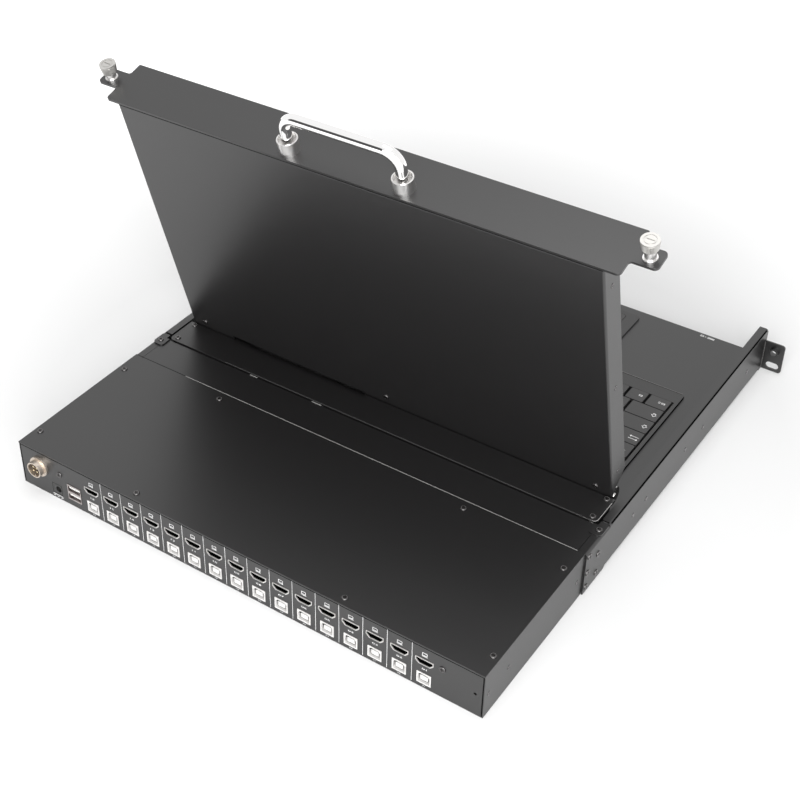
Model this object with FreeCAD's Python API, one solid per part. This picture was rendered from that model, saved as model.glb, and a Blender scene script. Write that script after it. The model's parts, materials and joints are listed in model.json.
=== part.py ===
import FreeCAD, Part
import math
import os

# Rackmount LCD console drawer, one rack unit high.
# Frame: +X is the user's right, -Y points out of the rack front, +Z is up.
# Sizes below count Y from the rear face of the rack ears.
# Saved parts are shifted to the middle of the whole unit.

V = FreeCAD.Vector
X_AXIS = V(1, 0, 0)
Y_AXIS = V(0, 1, 0)
Z_AXIS = V(0, 0, 1)

# Sheet metal
SHEET = 1.2
FRAME_SHEET = 1.5
PANEL_SHEET = 2.0
BEND_R = 2.2
LID_BEND_R = 1.8

# Whole unit: half width and height of the body, then its parts along Y
BOX_HALF = 221.5
BOX_H = 43.0
DECK_Y0 = 5.5
DECK_LEN = 311.5
COVER_GAP = 1.2
BRIDGE_LEN = 33.8
BOX_LEN = 146.5
DECK_Y1 = DECK_Y0 + DECK_LEN
BRIDGE_Y0 = DECK_Y1 + COVER_GAP
SEAM_Y = BRIDGE_Y0 + BRIDGE_LEN
REAR_Y = SEAM_Y + BOX_LEN

# Running clearance between moving bodies, and slack of screws and inserts in their holes
CLEAR = 0.4
HOLE_FIT = 0.05

# Switch box
FLANGE_SIDE = 14.0
FLANGE_END = 16.0
RELIEF_IN = 7.7
RELIEF_R = 1.1
REAR_GAP = 0.4
COVER_LIP = 0.4
COVER_Z0 = BOX_H - SHEET

# Side brackets with rack ears
BRACKET_OUT = BOX_HALF + FRAME_SHEET
EAR_REACH = 18.3
EAR_HALF = BRACKET_OUT + EAR_REACH
EAR_Z0 = 0.3
EAR_H = 30.0
EAR_HOLE_X = BRACKET_OUT + EAR_REACH / 2 + 0.4
EAR_SLOT_Z = 6.05
EAR_SLOT_LEN = 12.0
EAR_SLOT_R = 3.4
EAR_THREAD_Z = 21.9
THREAD_FIT = 0.3
BRACKET_Z0 = 2.3
BRACKET_FLANGE_W = 8.0
BRACKET_FLANGE_IN = BRACKET_OUT - BRACKET_FLANGE_W
BRACKET_STEP_Y = DECK_Y1 - 2.0
BRACKET_FRONT_R = 3.6
BRACKET_Y1 = SEAM_Y - 0.4
NOTCH_W = 2.0
NOTCH_Y = DECK_Y1 - 6.0
TONGUE_LEN = 11.0
TONGUE_ROOT = 3.3
NUT_RING = 1.6
NUT_H = 3.6
EAR_CORNER = 2.8

# Telescopic slides
SLIDE_ROOM = 9.8
SLIDE_Y0 = DECK_Y0 - 1.5
SLIDE_LEN = DECK_LEN - 3.5
SLIDE_Z = BOX_H / 2 - 1.5
SLIDE_HALF_H = 16.0
SLIDE_SHEET = 1.0
SLIDE_THIN = 0.8
SLIDE_GAP = 0.9
BALL_R = 0.9
BALL_GAP = 2.2
BALLS_PER_RACE = 5
RIVET_SHARES = (0.117, 0.425, 0.542, 0.784, 0.860)
RIVET_YS = [SLIDE_Y0 + SLIDE_LEN * share for share in RIVET_SHARES]
RAIL_SCREW_SHARES = (0.084, 0.295, 0.506, 0.718, 0.945)
RAIL_SCREW_YS = [SLIDE_Y0 + SLIDE_LEN * share for share in RAIL_SCREW_SHARES]

# Lid, drawn closed and then turned open about the hinge axis
LID_T = 21.2
LID_SIDE_GAP = 0.5
LID_FRONT_Y = -1.8
NOSE_R = 10.3
OPEN_ANGLE = 105.8
LID_Z0 = BOX_H - LID_T
AXIS_Z = BOX_H - NOSE_R

# Drawer deck
DECK_WALL_OUT = BOX_HALF - SLIDE_ROOM
DECK_WALL = 1.0
DECK_WALL_IN = DECK_WALL_OUT - DECK_WALL
DECK_BOTTOM = 3.2
KEY_TOP = LID_Z0 - 1.0
FRAME_TOP = KEY_TOP - 0.2
DECK_TOP = KEY_TOP - 2.3
DECK_WALL_TOP = DECK_TOP + 12.0

# Keyboard
KEY_SIDE_ROOM = 22.4
KEY_COLUMNS = 20.12
KEY_Y0 = DECK_Y0 + 113.4
BOTTOM_ROW = 16.0
TOP_ROW = 15.2
KEY_GAP = 1.0
KEY_COLUMN_GAP = 2.6
KEYS_SIDE_GAP = 1.2
KEY_H = 3.4
KEY_TRAVEL = 1.8
KEY_CORNER = 1.0
STEM = 4.0
STEM_FIT = 0.3
FRAME_RIM = 3.9
FRAME_FRONT = 15.7
KEYS_HALF = DECK_WALL_IN - KEY_SIDE_ROOM
KEY_PITCH = 2 * KEYS_HALF / KEY_COLUMNS
FRAME_HALF = KEYS_HALF + FRAME_RIM
FRAME_Y0 = KEY_Y0 - FRAME_FRONT

# Touchpad
PAD_X = -59.6
PAD_W = 96.0
PAD_Y0 = DECK_Y0 + 10.4
PAD_D = 77.0
PAD_X0 = PAD_X - PAD_W / 2
PAD_X1 = PAD_X + PAD_W / 2
PAD_Y1 = PAD_Y0 + PAD_D
PAD_TOP = KEY_TOP - 0.5
PAD_RIM = 11.5
PAD_REAR_RIM = 5.0
PAD_BUTTON_D = 14.0
PAD_BAR = 3.0
PAD_TRAVEL = 0.8

# Hinge plate behind the screen, and the hinge axis in front of it
PLATE_LEN = 31.7
PLATE_CORNER = 4.0
PLATE_GAP = 2.2
PLATE_HALF = BRACKET_FLANGE_IN - PLATE_GAP
PLATE_Y0 = DECK_Y1 - PLATE_LEN
AXIS_Y = PLATE_Y0 - 14.3
LID_LEN = AXIS_Y - LID_FRONT_Y
LID_HALF = DECK_WALL_IN - LID_SIDE_GAP
SIDE_END_TOP = 18.0
SIDE_END_LOW = 29.0

# Front panel
PANEL_HALF = BOX_HALF
PANEL_H = 43.6
PANEL_TOP_R = 3.2
PANEL_LOW_R = 1.2
TAB_Z0 = 12.1
TAB_Z1 = 29.5
TAB_CORNER = 3.6
TAB_ROOT_R = 2.2
PANEL_FACE_Y = LID_FRONT_Y - PANEL_SHEET
PANEL_Z0 = BOX_H / 2 - PANEL_H / 2

# Screen
MODULE_SIDE_ROOM = 11.2
MODULE_FRONT_ROOM = 4.3
MODULE_REAR_ROOM = 36.5
MODULE_T = 6.5
GLASS_T = 1.6
BEZEL_T = 1.2
SCREEN_EDGE = 7.8

# Handle
HANDLE_HALF = 50.0
HANDLE_Z = BOX_H - 10.0
HANDLE_ROD_R = 4.6
HANDLE_RISE = 32.5
HANDLE_BEND = 13.0
HANDLE_BOLT_R = 2.5
FERRULE_R = 8.2
FERRULE_H = 11.0
FERRULE_CUP = 4.5

# Captive thumbscrews
KNOB_R = 6.6
KNOB_FOOT_R = 5.5
KNOB_H = 8.4
KNOB_LIFT = 9.0
KNOB_SKIRT_R = 4.6
RING_R = 5.2
RING_H = 1.2
SLEEVE_R = 4.1
SLEEVE_BORE = 3.4
NECK_R = 1.8
THREAD_R = 2.4
RIGHT_THUMB_IN = 2.8
THREAD_HOLD = 3.0

# Hinges
HINGE_IN = 22.7
HINGE_W = 7.5
HINGE_GAP = 0.4
HINGE_EDGE = 3.2
KNUCKLE_R = 8.6
PIN_R = 3.0
PIN_FIT = 0.05
LEAF_T = 2.0
LEAF_LEN = 39.0
HINGE_X0 = LID_HALF - HINGE_IN
HINGE_OUT = LID_HALF - HINGE_EDGE
NOSE_HALF = HINGE_X0 - 3.5

# Rear connectors
PORTS = 16
PORT_LAST_IN = 48.9
USB_A_IN = 58.1
PORT_FIRST_IN = 78.2
DC_IN = 39.7
ROUND_IN = 20.9
HDMI_Z = 26.7
HDMI_W = 15.2
HDMI_H = 6.0
RIM = 0.6
USB_B_Z = 9.6
USB_B_W = 12.0
USB_B_H = 10.8
PORT_PROUD = 0.5
SOCKET_D = 16.5
MOUTH_D = 13.0
USB_A_W = 14.4
USB_A_Z0 = 6.6
USB_A_H = 15.6
DC_Z = 10.2
DC_W = 10.4
DC_BORE_R = 2.9
ROUND_Z = 26.5
ROUND_R = 7.3
ROUND_PROUD = 7.0
ROUND_COLLAR_R = 9.2
PORT_X0 = BOX_HALF - PORT_FIRST_IN
PORT_PITCH = (PORT_X0 + BOX_HALF - PORT_LAST_IN) / (PORTS - 1)
PORT_XS = [PORT_X0 - PORT_PITCH * i for i in range(PORTS)]
USB_A_X = BOX_HALF - USB_A_IN
DC_X = BOX_HALF - DC_IN
ROUND_X = BOX_HALF - ROUND_IN

# Screws
SCREW_R = 1.45
SCREW_HEAD_R = 2.7
SCREW_HEAD_H = 0.9
SCREW_LEN = 5.0
FLAT_HEAD_R = 2.0
FLAT_HEAD_H = 0.3

MIDDLE_Y = (REAR_Y + ROUND_PROUD - FRAME_SHEET) / 2


# Shape helpers

def box(x0, x1, y0, y1, z0, z1):
    return Part.makeBox(x1 - x0, y1 - y0, z1 - z0, V(x0, y0, z0))


def rod(x, y, z, axis, radius, length):
    return Part.makeCylinder(radius, length, V(x, y, z), axis)


def tube(x, y, z, axis, outer, inner, length):
    return rod(x, y, z, axis, outer, length).cut(rod(x, y, z, axis, inner, length))


def join(shapes):
    if len(shapes) == 1:
        return shapes[0]
    return shapes[0].fuse(shapes[1:]).removeSplitter()


def mirror(shape):
    return shape.mirror(V(0, 0, 0), X_AXIS)


def pair(shape):
    return [shape, mirror(shape)]


def opened(shape):
    turned = shape.copy()
    turned.rotate(V(0, AXIS_Y, AXIS_Z), X_AXIS, -OPEN_ANGLE)
    return turned


def in_plan(z):
    return lambda a, b: V(a, b, z)


def in_front(y):
    return lambda a, b: V(a, y, b)


def in_side(x):
    return lambda a, b: V(x, a, b)


def rounded_face(points, place):
    """Flat face through points (a, b, radius), each corner an arc of its own radius."""
    corners = []
    for i, (bx, by, radius) in enumerate(points):
        ax, ay = points[i - 1][:2]
        cx, cy = points[(i + 1) % len(points)][:2]
        if radius == 0:
            corners.append((place(bx, by), None, place(bx, by)))
            continue
        ux, uy = ax - bx, ay - by
        vx, vy = cx - bx, cy - by
        lu, lv = math.hypot(ux, uy), math.hypot(vx, vy)
        ux, uy, vx, vy = ux / lu, uy / lu, vx / lv, vy / lv
        half = 0.5 * math.acos(ux * vx + uy * vy)
        cut = radius / math.tan(half)
        mx, my = ux + vx, uy + vy
        length = math.hypot(mx, my)
        reach = radius / math.sin(half) - radius
        start = place(bx + ux * cut, by + uy * cut)
        middle = place(bx + mx / length * reach, by + my / length * reach)
        end = place(bx + vx * cut, by + vy * cut)
        corners.append((start, middle, end))
    edges = []
    for i, (start, middle, end) in enumerate(corners):
        before = corners[i - 1][2]
        if before.distanceToPoint(start) > 1e-6:
            edges.append(Part.makeLine(before, start))
        if middle is not None:
            edges.append(Part.Arc(start, middle, end).toShape())
    return Part.Face(Part.Wire(edges))


def rectangle(a0, a1, b0, b1, radius=0):
    return [(a0, b0, radius), (a1, b0, radius), (a1, b1, radius), (a0, b1, radius)]


def screw(x, y, z, out, head_r=SCREW_HEAD_R, head_h=SCREW_HEAD_H, shank_r=SCREW_R, length=SCREW_LEN):
    """Pan head screw with a cross recess, its head standing on the point along out."""
    base = V(x, y, z)
    head = Part.makeCylinder(head_r, head_h, base, out)
    head = head.makeFillet(head_h * 0.6, [head.Edges[0] if head.Edges[0].CenterOfMass.distanceToPoint(base) > 0.1
                                          else head.Edges[2]])
    shank = Part.makeCylinder(shank_r, length, base, out * -1)
    return head.fuse(shank).cut(cross_recess(base + out * head_h, out, head_r, head_h))


def cross_recess(top, out, head_r, head_h):
    side = X_AXIS if abs(out.dot(X_AXIS)) < 0.5 else Y_AXIS
    up = out.cross(side)
    depth = head_h * 0.6
    length, width = head_r * 1.1, head_r * 0.24
    bars = []
    for a, b in ((side, up), (up, side)):
        corner = top - a * (length / 2) - b * (width / 2)
        wire = Part.makePolygon([corner, corner + a * length, corner + a * length + b * width,
                                 corner + b * width, corner])
        bars.append(Part.Face(wire).extrude(out * -depth))
    return bars[0].fuse(bars[1])


def hole(x, y, z, axis, radius, reach=8.0):
    start = V(x, y, z) - axis * reach
    return Part.makeCylinder(radius, reach * 2, start, axis)


def save(node, shapes):
    if not isinstance(shapes, list):
        shapes = [shapes]
    solids = [solid for shape in shapes for solid in shape.Solids]
    out = solids[0].copy() if len(solids) == 1 else Part.makeCompound(solids)
    out.translate(V(0, -MIDDLE_Y, 0))
    out.exportStep("parts/%s.step" % node)


# Switch box

COVER_SCREWS = [(BOX_HALF - 5.5, REAR_Y - 19.5), (BOX_HALF * 0.45, REAR_Y - 6.5),
                (BOX_HALF * 0.545, SEAM_Y + 8.8), (BOX_HALF - 6.1, SEAM_Y + 23.0)]
SIDE_SCREWS = [(REAR_Y - 34.2, BOX_H * 0.495), (REAR_Y - 6.5, BOX_H * 0.465), (SEAM_Y + 9.4, BOX_H * 0.48)]
PANEL_SCREWS = [(DC_X - 3.5, HDMI_Z + 1.0), (PORT_XS[-1] - 14.7, HDMI_Z + 1.9)]
PANEL_HOLE = (7.1 - BOX_HALF, BOX_H * 0.486, 1.2)
COUPLING_SCREW_X = BOX_HALF - 12.5
COUPLING_SCREW_ZS = (BOX_H * 0.28, BOX_H * 0.7)
PASS_SLOT = (-45.0, 45.0, BOX_H * 0.2, BOX_H * 0.62)


def base_tray():
    inner = BOX_HALF - SHEET
    flange_z = COVER_Z0 - SHEET
    shapes = [box(-BOX_HALF, BOX_HALF, SEAM_Y, REAR_Y, 0, SHEET),
              box(-BOX_HALF, BOX_HALF, SEAM_Y, SEAM_Y + SHEET, 0, COVER_Z0),
              box(-inner, inner, SEAM_Y, SEAM_Y + FLANGE_END, flange_z, COVER_Z0)]
    shapes += pair(box(inner, BOX_HALF, SEAM_Y, REAR_Y, 0, COVER_Z0))
    shapes += pair(box(BOX_HALF - FLANGE_SIDE, BOX_HALF, SEAM_Y, REAR_Y - SHEET, flange_z, COVER_Z0))
    tray = join(shapes)
    cuts = [hole(side * x, y, COVER_Z0, Z_AXIS, SCREW_R, 3) for x, y in COVER_SCREWS for side in (-1, 1)]
    cuts += [hole(side * BOX_HALF, y, z, X_AXIS, SCREW_R, 3) for y, z in SIDE_SCREWS for side in (-1, 1)]
    cuts += [hole(side * COUPLING_SCREW_X, SEAM_Y, z, Y_AXIS, SCREW_R, 3)
             for z in COUPLING_SCREW_ZS for side in (-1, 1)]
    x0, x1, z0, z1 = PASS_SLOT
    cuts.append(box(x0, x1, SEAM_Y - 1, SEAM_Y + SHEET + 1, z0, z1))
    return tray.cut(cuts)


def top_cover():
    plate = box(-BOX_HALF, BOX_HALF, SEAM_Y, REAR_Y + COVER_LIP, COVER_Z0, BOX_H)
    relief = BOX_HALF - RELIEF_IN
    cuts = [hole(side * x, y, BOX_H, Z_AXIS, SCREW_R + HOLE_FIT, 3)
            for x, y in COVER_SCREWS for side in (-1, 1)]
    cuts += [hole(x, SEAM_Y, BOX_H, Z_AXIS, RELIEF_R, 3) for x in (-relief, relief)]
    return plate.cut(cuts)


def hdmi_outline(grow):
    """Socket mouth, wide at the top and tapered at the bottom corners."""
    half_w, half_h = HDMI_W / 2 - RIM + grow, HDMI_H / 2 - RIM + grow
    taper = HDMI_H * 0.45
    return [(-half_w, half_h, RIM), (half_w, half_h, RIM), (half_w, -half_h + taper, RIM),
            (half_w - taper, -half_h, RIM), (-half_w + taper, -half_h, RIM), (-half_w, -half_h + taper, RIM)]


def usb_b_outline():
    half_w, half_h = USB_B_W / 2 - 1.0, USB_B_H / 2 - 1.0
    bevel = USB_B_W * 0.14
    return [(-half_w, -half_h, 0), (half_w, -half_h, 0), (half_w, half_h - bevel, 0),
            (half_w - bevel, half_h, 0), (-half_w + bevel, half_h, 0), (-half_w, half_h - bevel, 0)]


def at_port(points, x, z):
    return [(x + a, z + b, radius) for a, b, radius in points]


def rear_panel():
    y0 = REAR_Y - SHEET
    inner = BOX_HALF - SHEET - REAR_GAP
    top = COVER_Z0 - REAR_GAP
    plate = box(-inner, inner, y0, REAR_Y, SHEET, top)
    lip_half = BOX_HALF - FLANGE_SIDE - REAR_GAP
    lip = box(-lip_half, lip_half, y0 - FLANGE_END + SHEET, y0, top - SHEET, top)
    panel = plate.fuse(lip)
    cuts = [hole(PANEL_HOLE[0], REAR_Y, PANEL_HOLE[1], Y_AXIS, PANEL_HOLE[2], 4)]
    for x in PORT_XS:
        opening = rounded_face(at_port(hdmi_outline(RIM), x, HDMI_Z), in_front(y0 - 1))
        cuts.append(opening.extrude(Y_AXIS * (SHEET + 2)))
        cuts.append(box(x - USB_B_W / 2, x + USB_B_W / 2, y0 - 1, REAR_Y + 1,
                        USB_B_Z - USB_B_H / 2, USB_B_Z + USB_B_H / 2))
    cuts.append(box(USB_A_X - USB_A_W / 2, USB_A_X + USB_A_W / 2, y0 - 1, REAR_Y + 1,
                    USB_A_Z0, USB_A_Z0 + USB_A_H))
    cuts.append(box(DC_X - DC_W / 2, DC_X + DC_W / 2, y0 - 1, REAR_Y + 1, DC_Z - DC_W / 2, DC_Z + DC_W / 2))
    cuts.append(hole(ROUND_X, REAR_Y, ROUND_Z, Y_AXIS, ROUND_R + HOLE_FIT, 4))
    cuts += [hole(x, REAR_Y, z, Y_AXIS, SCREW_R, 4) for x, z in PANEL_SCREWS]
    cuts += [hole(side * x, y, COVER_Z0, Z_AXIS, SCREW_R, 3) for x, y in COVER_SCREWS for side in (-1, 1)]
    return panel.cut(cuts)


BOARD_T = 1.6
LOWER_BOARD_Z = USB_B_Z - USB_B_H / 2 - BOARD_T
UPPER_BOARD_Z = HDMI_Z - HDMI_H / 2 - BOARD_T
BOARD_Y1 = REAR_Y - SHEET - 0.6
LOWER_BOARD_D = 101.0
UPPER_BOARD_D = 45.0
SPACER_XS = [PORT_X0 - PORT_PITCH * (i + 0.5) for i in (0, 5, 10, 14)]
SPACER_Y = BOARD_Y1 - UPPER_BOARD_D + 10.0
SPACER_R = 2.6


def circuit_boards():
    lower = box(16.5 - BOX_HALF, BOX_HALF - 13.5, BOARD_Y1 - LOWER_BOARD_D, BOARD_Y1,
                LOWER_BOARD_Z, LOWER_BOARD_Z + BOARD_T)
    upper = box(PORT_XS[-1] - 11.4, PORT_XS[0] + 10.7, BOARD_Y1 - UPPER_BOARD_D, BOARD_Y1,
                UPPER_BOARD_Z, UPPER_BOARD_Z + BOARD_T)
    return lower, upper


def board_spacers():
    front_y = BOARD_Y1 - LOWER_BOARD_D + 6.0
    low = [rod(x, y, SHEET, Z_AXIS, SPACER_R, LOWER_BOARD_Z - SHEET)
           for x in SPACER_XS for y in (front_y, SPACER_Y)]
    high_z = LOWER_BOARD_Z + BOARD_T
    high = [rod(x, SPACER_Y, high_z, Z_AXIS, SPACER_R, UPPER_BOARD_Z - high_z) for x in SPACER_XS]
    return low + high


def hdmi_shell(x):
    y0 = REAR_Y - SOCKET_D
    y1 = REAR_Y + PORT_PROUD
    body = rounded_face(at_port(hdmi_outline(RIM), x, HDMI_Z), in_front(y0)).extrude(Y_AXIS * (y1 - y0))
    mouth = rounded_face(at_port(hdmi_outline(0), x, HDMI_Z), in_front(REAR_Y - MOUTH_D))
    return body.cut(mouth.extrude(Y_AXIS * 2 * MOUTH_D))


def hdmi_tongue(x):
    half = HDMI_W / 2 - 2.0
    return box(x - half, x + half, REAR_Y - MOUTH_D, REAR_Y - 1.5, HDMI_Z - 0.3, HDMI_Z + 1.1)


def usb_b_shell(x):
    y1 = REAR_Y + PORT_PROUD
    body = box(x - USB_B_W / 2, x + USB_B_W / 2, REAR_Y - SOCKET_D, y1,
               USB_B_Z - USB_B_H / 2, USB_B_Z + USB_B_H / 2)
    mouth = rounded_face(at_port(usb_b_outline(), x, USB_B_Z), in_front(REAR_Y - MOUTH_D))
    return body.cut(mouth.extrude(Y_AXIS * 2 * MOUTH_D))


def usb_b_block(x):
    half_w, half_h = USB_B_W * 0.27, USB_B_H * 0.21
    return box(x - half_w, x + half_w, REAR_Y - MOUTH_D, REAR_Y - 0.4, USB_B_Z - half_h, USB_B_Z + half_h)


def usb_a_parts():
    y0 = REAR_Y - SOCKET_D
    y1 = REAR_Y + PORT_PROUD
    x0, x1 = USB_A_X - USB_A_W / 2, USB_A_X + USB_A_W / 2
    z_foot = LOWER_BOARD_Z + BOARD_T
    body = box(x0, x1, y0, y1, USB_A_Z0, USB_A_Z0 + USB_A_H).fuse(box(x0, x1, y0, BOARD_Y1, z_foot, USB_A_Z0))
    body = body.removeSplitter()
    mouths = []
    tongues = []
    half_h = USB_A_H * 0.175
    for share in (0.26, 0.74):
        z = USB_A_Z0 + USB_A_H * share
        mouths.append(box(x0 + 0.7, x1 - 0.7, REAR_Y - MOUTH_D, y1 + 1, z - half_h, z + half_h))
        tongues.append(box(x0 + 1.4, x1 - 1.4, REAR_Y - MOUTH_D, REAR_Y - 0.6, z - 0.4, z + half_h - 0.6))
    return body.cut(mouths), tongues


def dc_jack_parts():
    half = DC_W / 2
    y0 = REAR_Y - SOCKET_D
    z_foot = LOWER_BOARD_Z + BOARD_T
    body = box(DC_X - half, DC_X + half, y0, BOARD_Y1, z_foot, DC_Z + half)
    face = box(DC_X - half, DC_X + half, BOARD_Y1, REAR_Y, DC_Z - half, DC_Z + half)
    bore = rod(DC_X, REAR_Y - MOUTH_D, DC_Z, Y_AXIS, DC_BORE_R, 2 * MOUTH_D)
    pin = rod(DC_X, REAR_Y - MOUTH_D, DC_Z, Y_AXIS, DC_BORE_R * 0.36, MOUTH_D - 4.0)
    return body.fuse(face).removeSplitter().cut(bore), pin


def round_connector_parts():
    x, z = ROUND_X, ROUND_Z
    depth = 12.0
    bore_r = ROUND_R - 1.1
    shell = rod(x, REAR_Y - depth, z, Y_AXIS, ROUND_R, depth + ROUND_PROUD)
    collar = rod(x, REAR_Y, z, Y_AXIS, ROUND_COLLAR_R, 1.8)
    shell = shell.fuse(collar).cut(rod(x, REAR_Y - 4.0, z, Y_AXIS, bore_r, 20))
    key = box(x - 0.7, x + 0.7, REAR_Y + 1.0, REAR_Y + ROUND_PROUD - 1.0, z - bore_r, z - bore_r + 1.2)
    insert = rod(x, REAR_Y - 4.0, z, Y_AXIS, bore_r, 5.0)
    pins = []
    for k in range(4):
        angle = math.radians(45 + 90 * k)
        px, pz = x + bore_r * 0.45 * math.cos(angle), z + bore_r * 0.45 * math.sin(angle)
        pins.append(rod(px, REAR_Y + 1.0, pz, Y_AXIS, 0.75, ROUND_PROUD - 2.6))
    nut_y = REAR_Y - SHEET - 2.5
    nut_r = ROUND_R + 3.2
    turns = [math.radians(60 * k) for k in range(7)]
    corners = [V(x + nut_r * math.cos(turn), nut_y, z + nut_r * math.sin(turn)) for turn in turns]
    nut = Part.Face(Part.makePolygon(corners)).extrude(Y_AXIS * 2.5)
    nut = nut.cut(rod(x, nut_y - 1, z, Y_AXIS, ROUND_R + HOLE_FIT, 5))
    return shell.fuse(key), insert, pins, nut


# Side brackets, coupling to the switch box, and the fixed bridge cover

JOINT_SCREWS = [(SEAM_Y - 4.8, BOX_H * 0.86), (SEAM_Y - 21.0, BOX_H * 0.635), (SEAM_Y - 4.8, BOX_H * 0.465),
                (SEAM_Y - 21.0, BOX_H * 0.172), (SEAM_Y - 4.8, BOX_H * 0.126)]
TONGUE_SCREW = (BRACKET_FLANGE_IN + 3.0, DECK_Y1 + 5.8)
BRIDGE_TOP = BOX_H - SHEET
BRIDGE_HALF = BRACKET_FLANGE_IN - 0.3
SHELF_TOP = BRIDGE_TOP - BEND_R
SKIRT_HALF = BOX_HALF - 25.5
BRIDGE_TABS = ((45.0, 55.0), (113.0, 121.0))
LEG_T = 1.5


def bracket_bend(top, y0, y1):
    """Wall and inward flange of the bracket between two places along its length."""
    profile = [(BRACKET_OUT, BRACKET_Z0, 0), (BRACKET_OUT, top, BEND_R), (BRACKET_FLANGE_IN, top, 0),
               (BRACKET_FLANGE_IN, top - FRAME_SHEET, 0), (BOX_HALF, top - FRAME_SHEET, BEND_R - FRAME_SHEET),
               (BOX_HALF, BRACKET_Z0, 0)]
    return rounded_face(profile, in_front(y0)).extrude(Y_AXIS * (y1 - y0))


def bracket():
    y_end = BRACKET_Y1
    step_y = NOTCH_Y + NOTCH_W
    ear_z1 = EAR_Z0 + EAR_H
    wall = rounded_face([(-FRAME_SHEET, BRACKET_Z0, 0), (BRACKET_STEP_Y, BRACKET_Z0, 0),
                         (BRACKET_STEP_Y + BRACKET_Z0, 0, 0), (y_end, 0, 0), (y_end, BRIDGE_TOP - BEND_R, 0),
                         (step_y, BRIDGE_TOP - BEND_R, 0), (step_y, BOX_H - BEND_R, 0),
                         (-FRAME_SHEET, BOX_H - BEND_R, BRACKET_FRONT_R - BEND_R)], in_side(BOX_HALF))
    wall = wall.extrude(X_AXIS * FRAME_SHEET)
    front_y = BRACKET_FRONT_R - BEND_R - FRAME_SHEET
    ear = rounded_face([(BOX_HALF, EAR_Z0, 0), (EAR_HALF, EAR_Z0, EAR_CORNER), (EAR_HALF, ear_z1, EAR_CORNER),
                        (BOX_HALF, ear_z1, 0)], in_front(-FRAME_SHEET)).extrude(Y_AXIS * FRAME_SHEET)
    nut = rod(EAR_HOLE_X, 0, EAR_THREAD_Z, Y_AXIS, THREAD_R + THREAD_FIT + NUT_RING, NUT_H)
    low = box(BOX_HALF, BRACKET_OUT, -FRAME_SHEET, 6.0, EAR_Z0, BRACKET_Z0 + 1)
    shape = join([wall, bracket_bend(BOX_H, front_y, step_y), bracket_bend(BRIDGE_TOP, step_y, y_end),
                  ear, low, nut])
    cuts = [box(BRACKET_FLANGE_IN - 1, BOX_HALF - 0.2, NOTCH_Y, step_y, BOX_H - 3, BOX_H + 1),
            hole(EAR_HOLE_X, 0, EAR_THREAD_Z, Y_AXIS, THREAD_R + THREAD_FIT, 5),
            hole(TONGUE_SCREW[0], TONGUE_SCREW[1], BOX_H, Z_AXIS, SCREW_R + HOLE_FIT, 3)]
    half = EAR_SLOT_LEN / 2
    ring = rectangle(EAR_HOLE_X - half, EAR_HOLE_X + half, EAR_SLOT_Z - EAR_SLOT_R, EAR_SLOT_Z + EAR_SLOT_R,
                     EAR_SLOT_R * 0.999)
    cuts.append(rounded_face(ring, in_front(-4)).extrude(Y_AXIS * 8))
    cuts += [hole(BOX_HALF, y, z, X_AXIS, SCREW_R + HOLE_FIT, 4) for y, z in JOINT_SCREWS]
    cuts += [hole(BOX_HALF, y, SLIDE_Z, X_AXIS, SCREW_R, 4) for y in RIVET_YS]
    return shape.cut(cuts)


def coupling_angle():
    x1 = BOX_HALF
    x0 = x1 - LEG_T
    y1 = SEAM_Y
    leg = box(x0, x1, BRACKET_STEP_Y + 4, y1, 2.0, SHELF_TOP)
    foot = box(x1 - 22, x1, y1 - LEG_T, y1, 2.0, SHELF_TOP)
    shelf = box(x1 - 18, x1, BRIDGE_Y0 + 1, y1, SHELF_TOP - LEG_T, SHELF_TOP)
    pad = box(x1 - 18, BRIDGE_HALF, BRIDGE_Y0 + 3, y1 - SHEET, SHELF_TOP, BRIDGE_TOP - SHEET)
    angle = join([leg, foot, shelf, pad])
    cuts = [hole(x1, y, z, X_AXIS, SCREW_R, 4) for y, z in JOINT_SCREWS]
    cuts += [hole(COUPLING_SCREW_X, y1, z, Y_AXIS, SCREW_R + HOLE_FIT, 4) for z in COUPLING_SCREW_ZS]
    cuts.append(hole(TONGUE_SCREW[0], TONGUE_SCREW[1], SHELF_TOP, Z_AXIS, SCREW_R, 3))
    return angle.cut(cuts)


def tongue():
    """Ear of the bridge cover that lies on the bracket's flange, with its rounded end outward."""
    y0, y1 = NOTCH_Y + NOTCH_W, BRIDGE_Y0 + TONGUE_LEN
    tip = BRACKET_OUT - 0.6
    root = BRACKET_FLANGE_IN - TONGUE_ROOT
    outline = [(root, BRIDGE_Y0, 0), (BRACKET_FLANGE_IN, BRIDGE_Y0, 0), (BRACKET_FLANGE_IN, y0, 0.8),
               (tip, y0, 2.6), (tip, y1, 4.0), (root, y1, 2.4)]
    return rounded_face(outline, in_plan(BRIDGE_TOP)).extrude(Z_AXIS * SHEET)


def bridge_cover():
    y1 = SEAM_Y
    plate = box(-BRIDGE_HALF, BRIDGE_HALF, BRIDGE_Y0, y1, BRIDGE_TOP - SHEET, BRIDGE_TOP)
    skirt = box(-SKIRT_HALF, SKIRT_HALF, y1 - SHEET, y1, BRIDGE_TOP - 17.5, BRIDGE_TOP)
    hem = box(-SKIRT_HALF, SKIRT_HALF, BRIDGE_Y0, BRIDGE_Y0 + SHEET, BRIDGE_TOP - 6, BRIDGE_TOP)
    tabs = [box(a, b, BRIDGE_Y0 - 0.7, BRIDGE_Y0 + SHEET, BRIDGE_TOP - SHEET, BRIDGE_TOP)
            for a, b in BRIDGE_TABS]
    cover = join([plate, skirt, hem] + tabs + pair(tongue()))
    cuts = [hole(side * TONGUE_SCREW[0], TONGUE_SCREW[1], BOX_H, Z_AXIS, SCREW_R + HOLE_FIT, 2)
            for side in (-1, 1)]
    return cover.cut(cuts)


# Telescopic slides: outer member on the bracket, inner member on the drawer, middle member between

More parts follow.
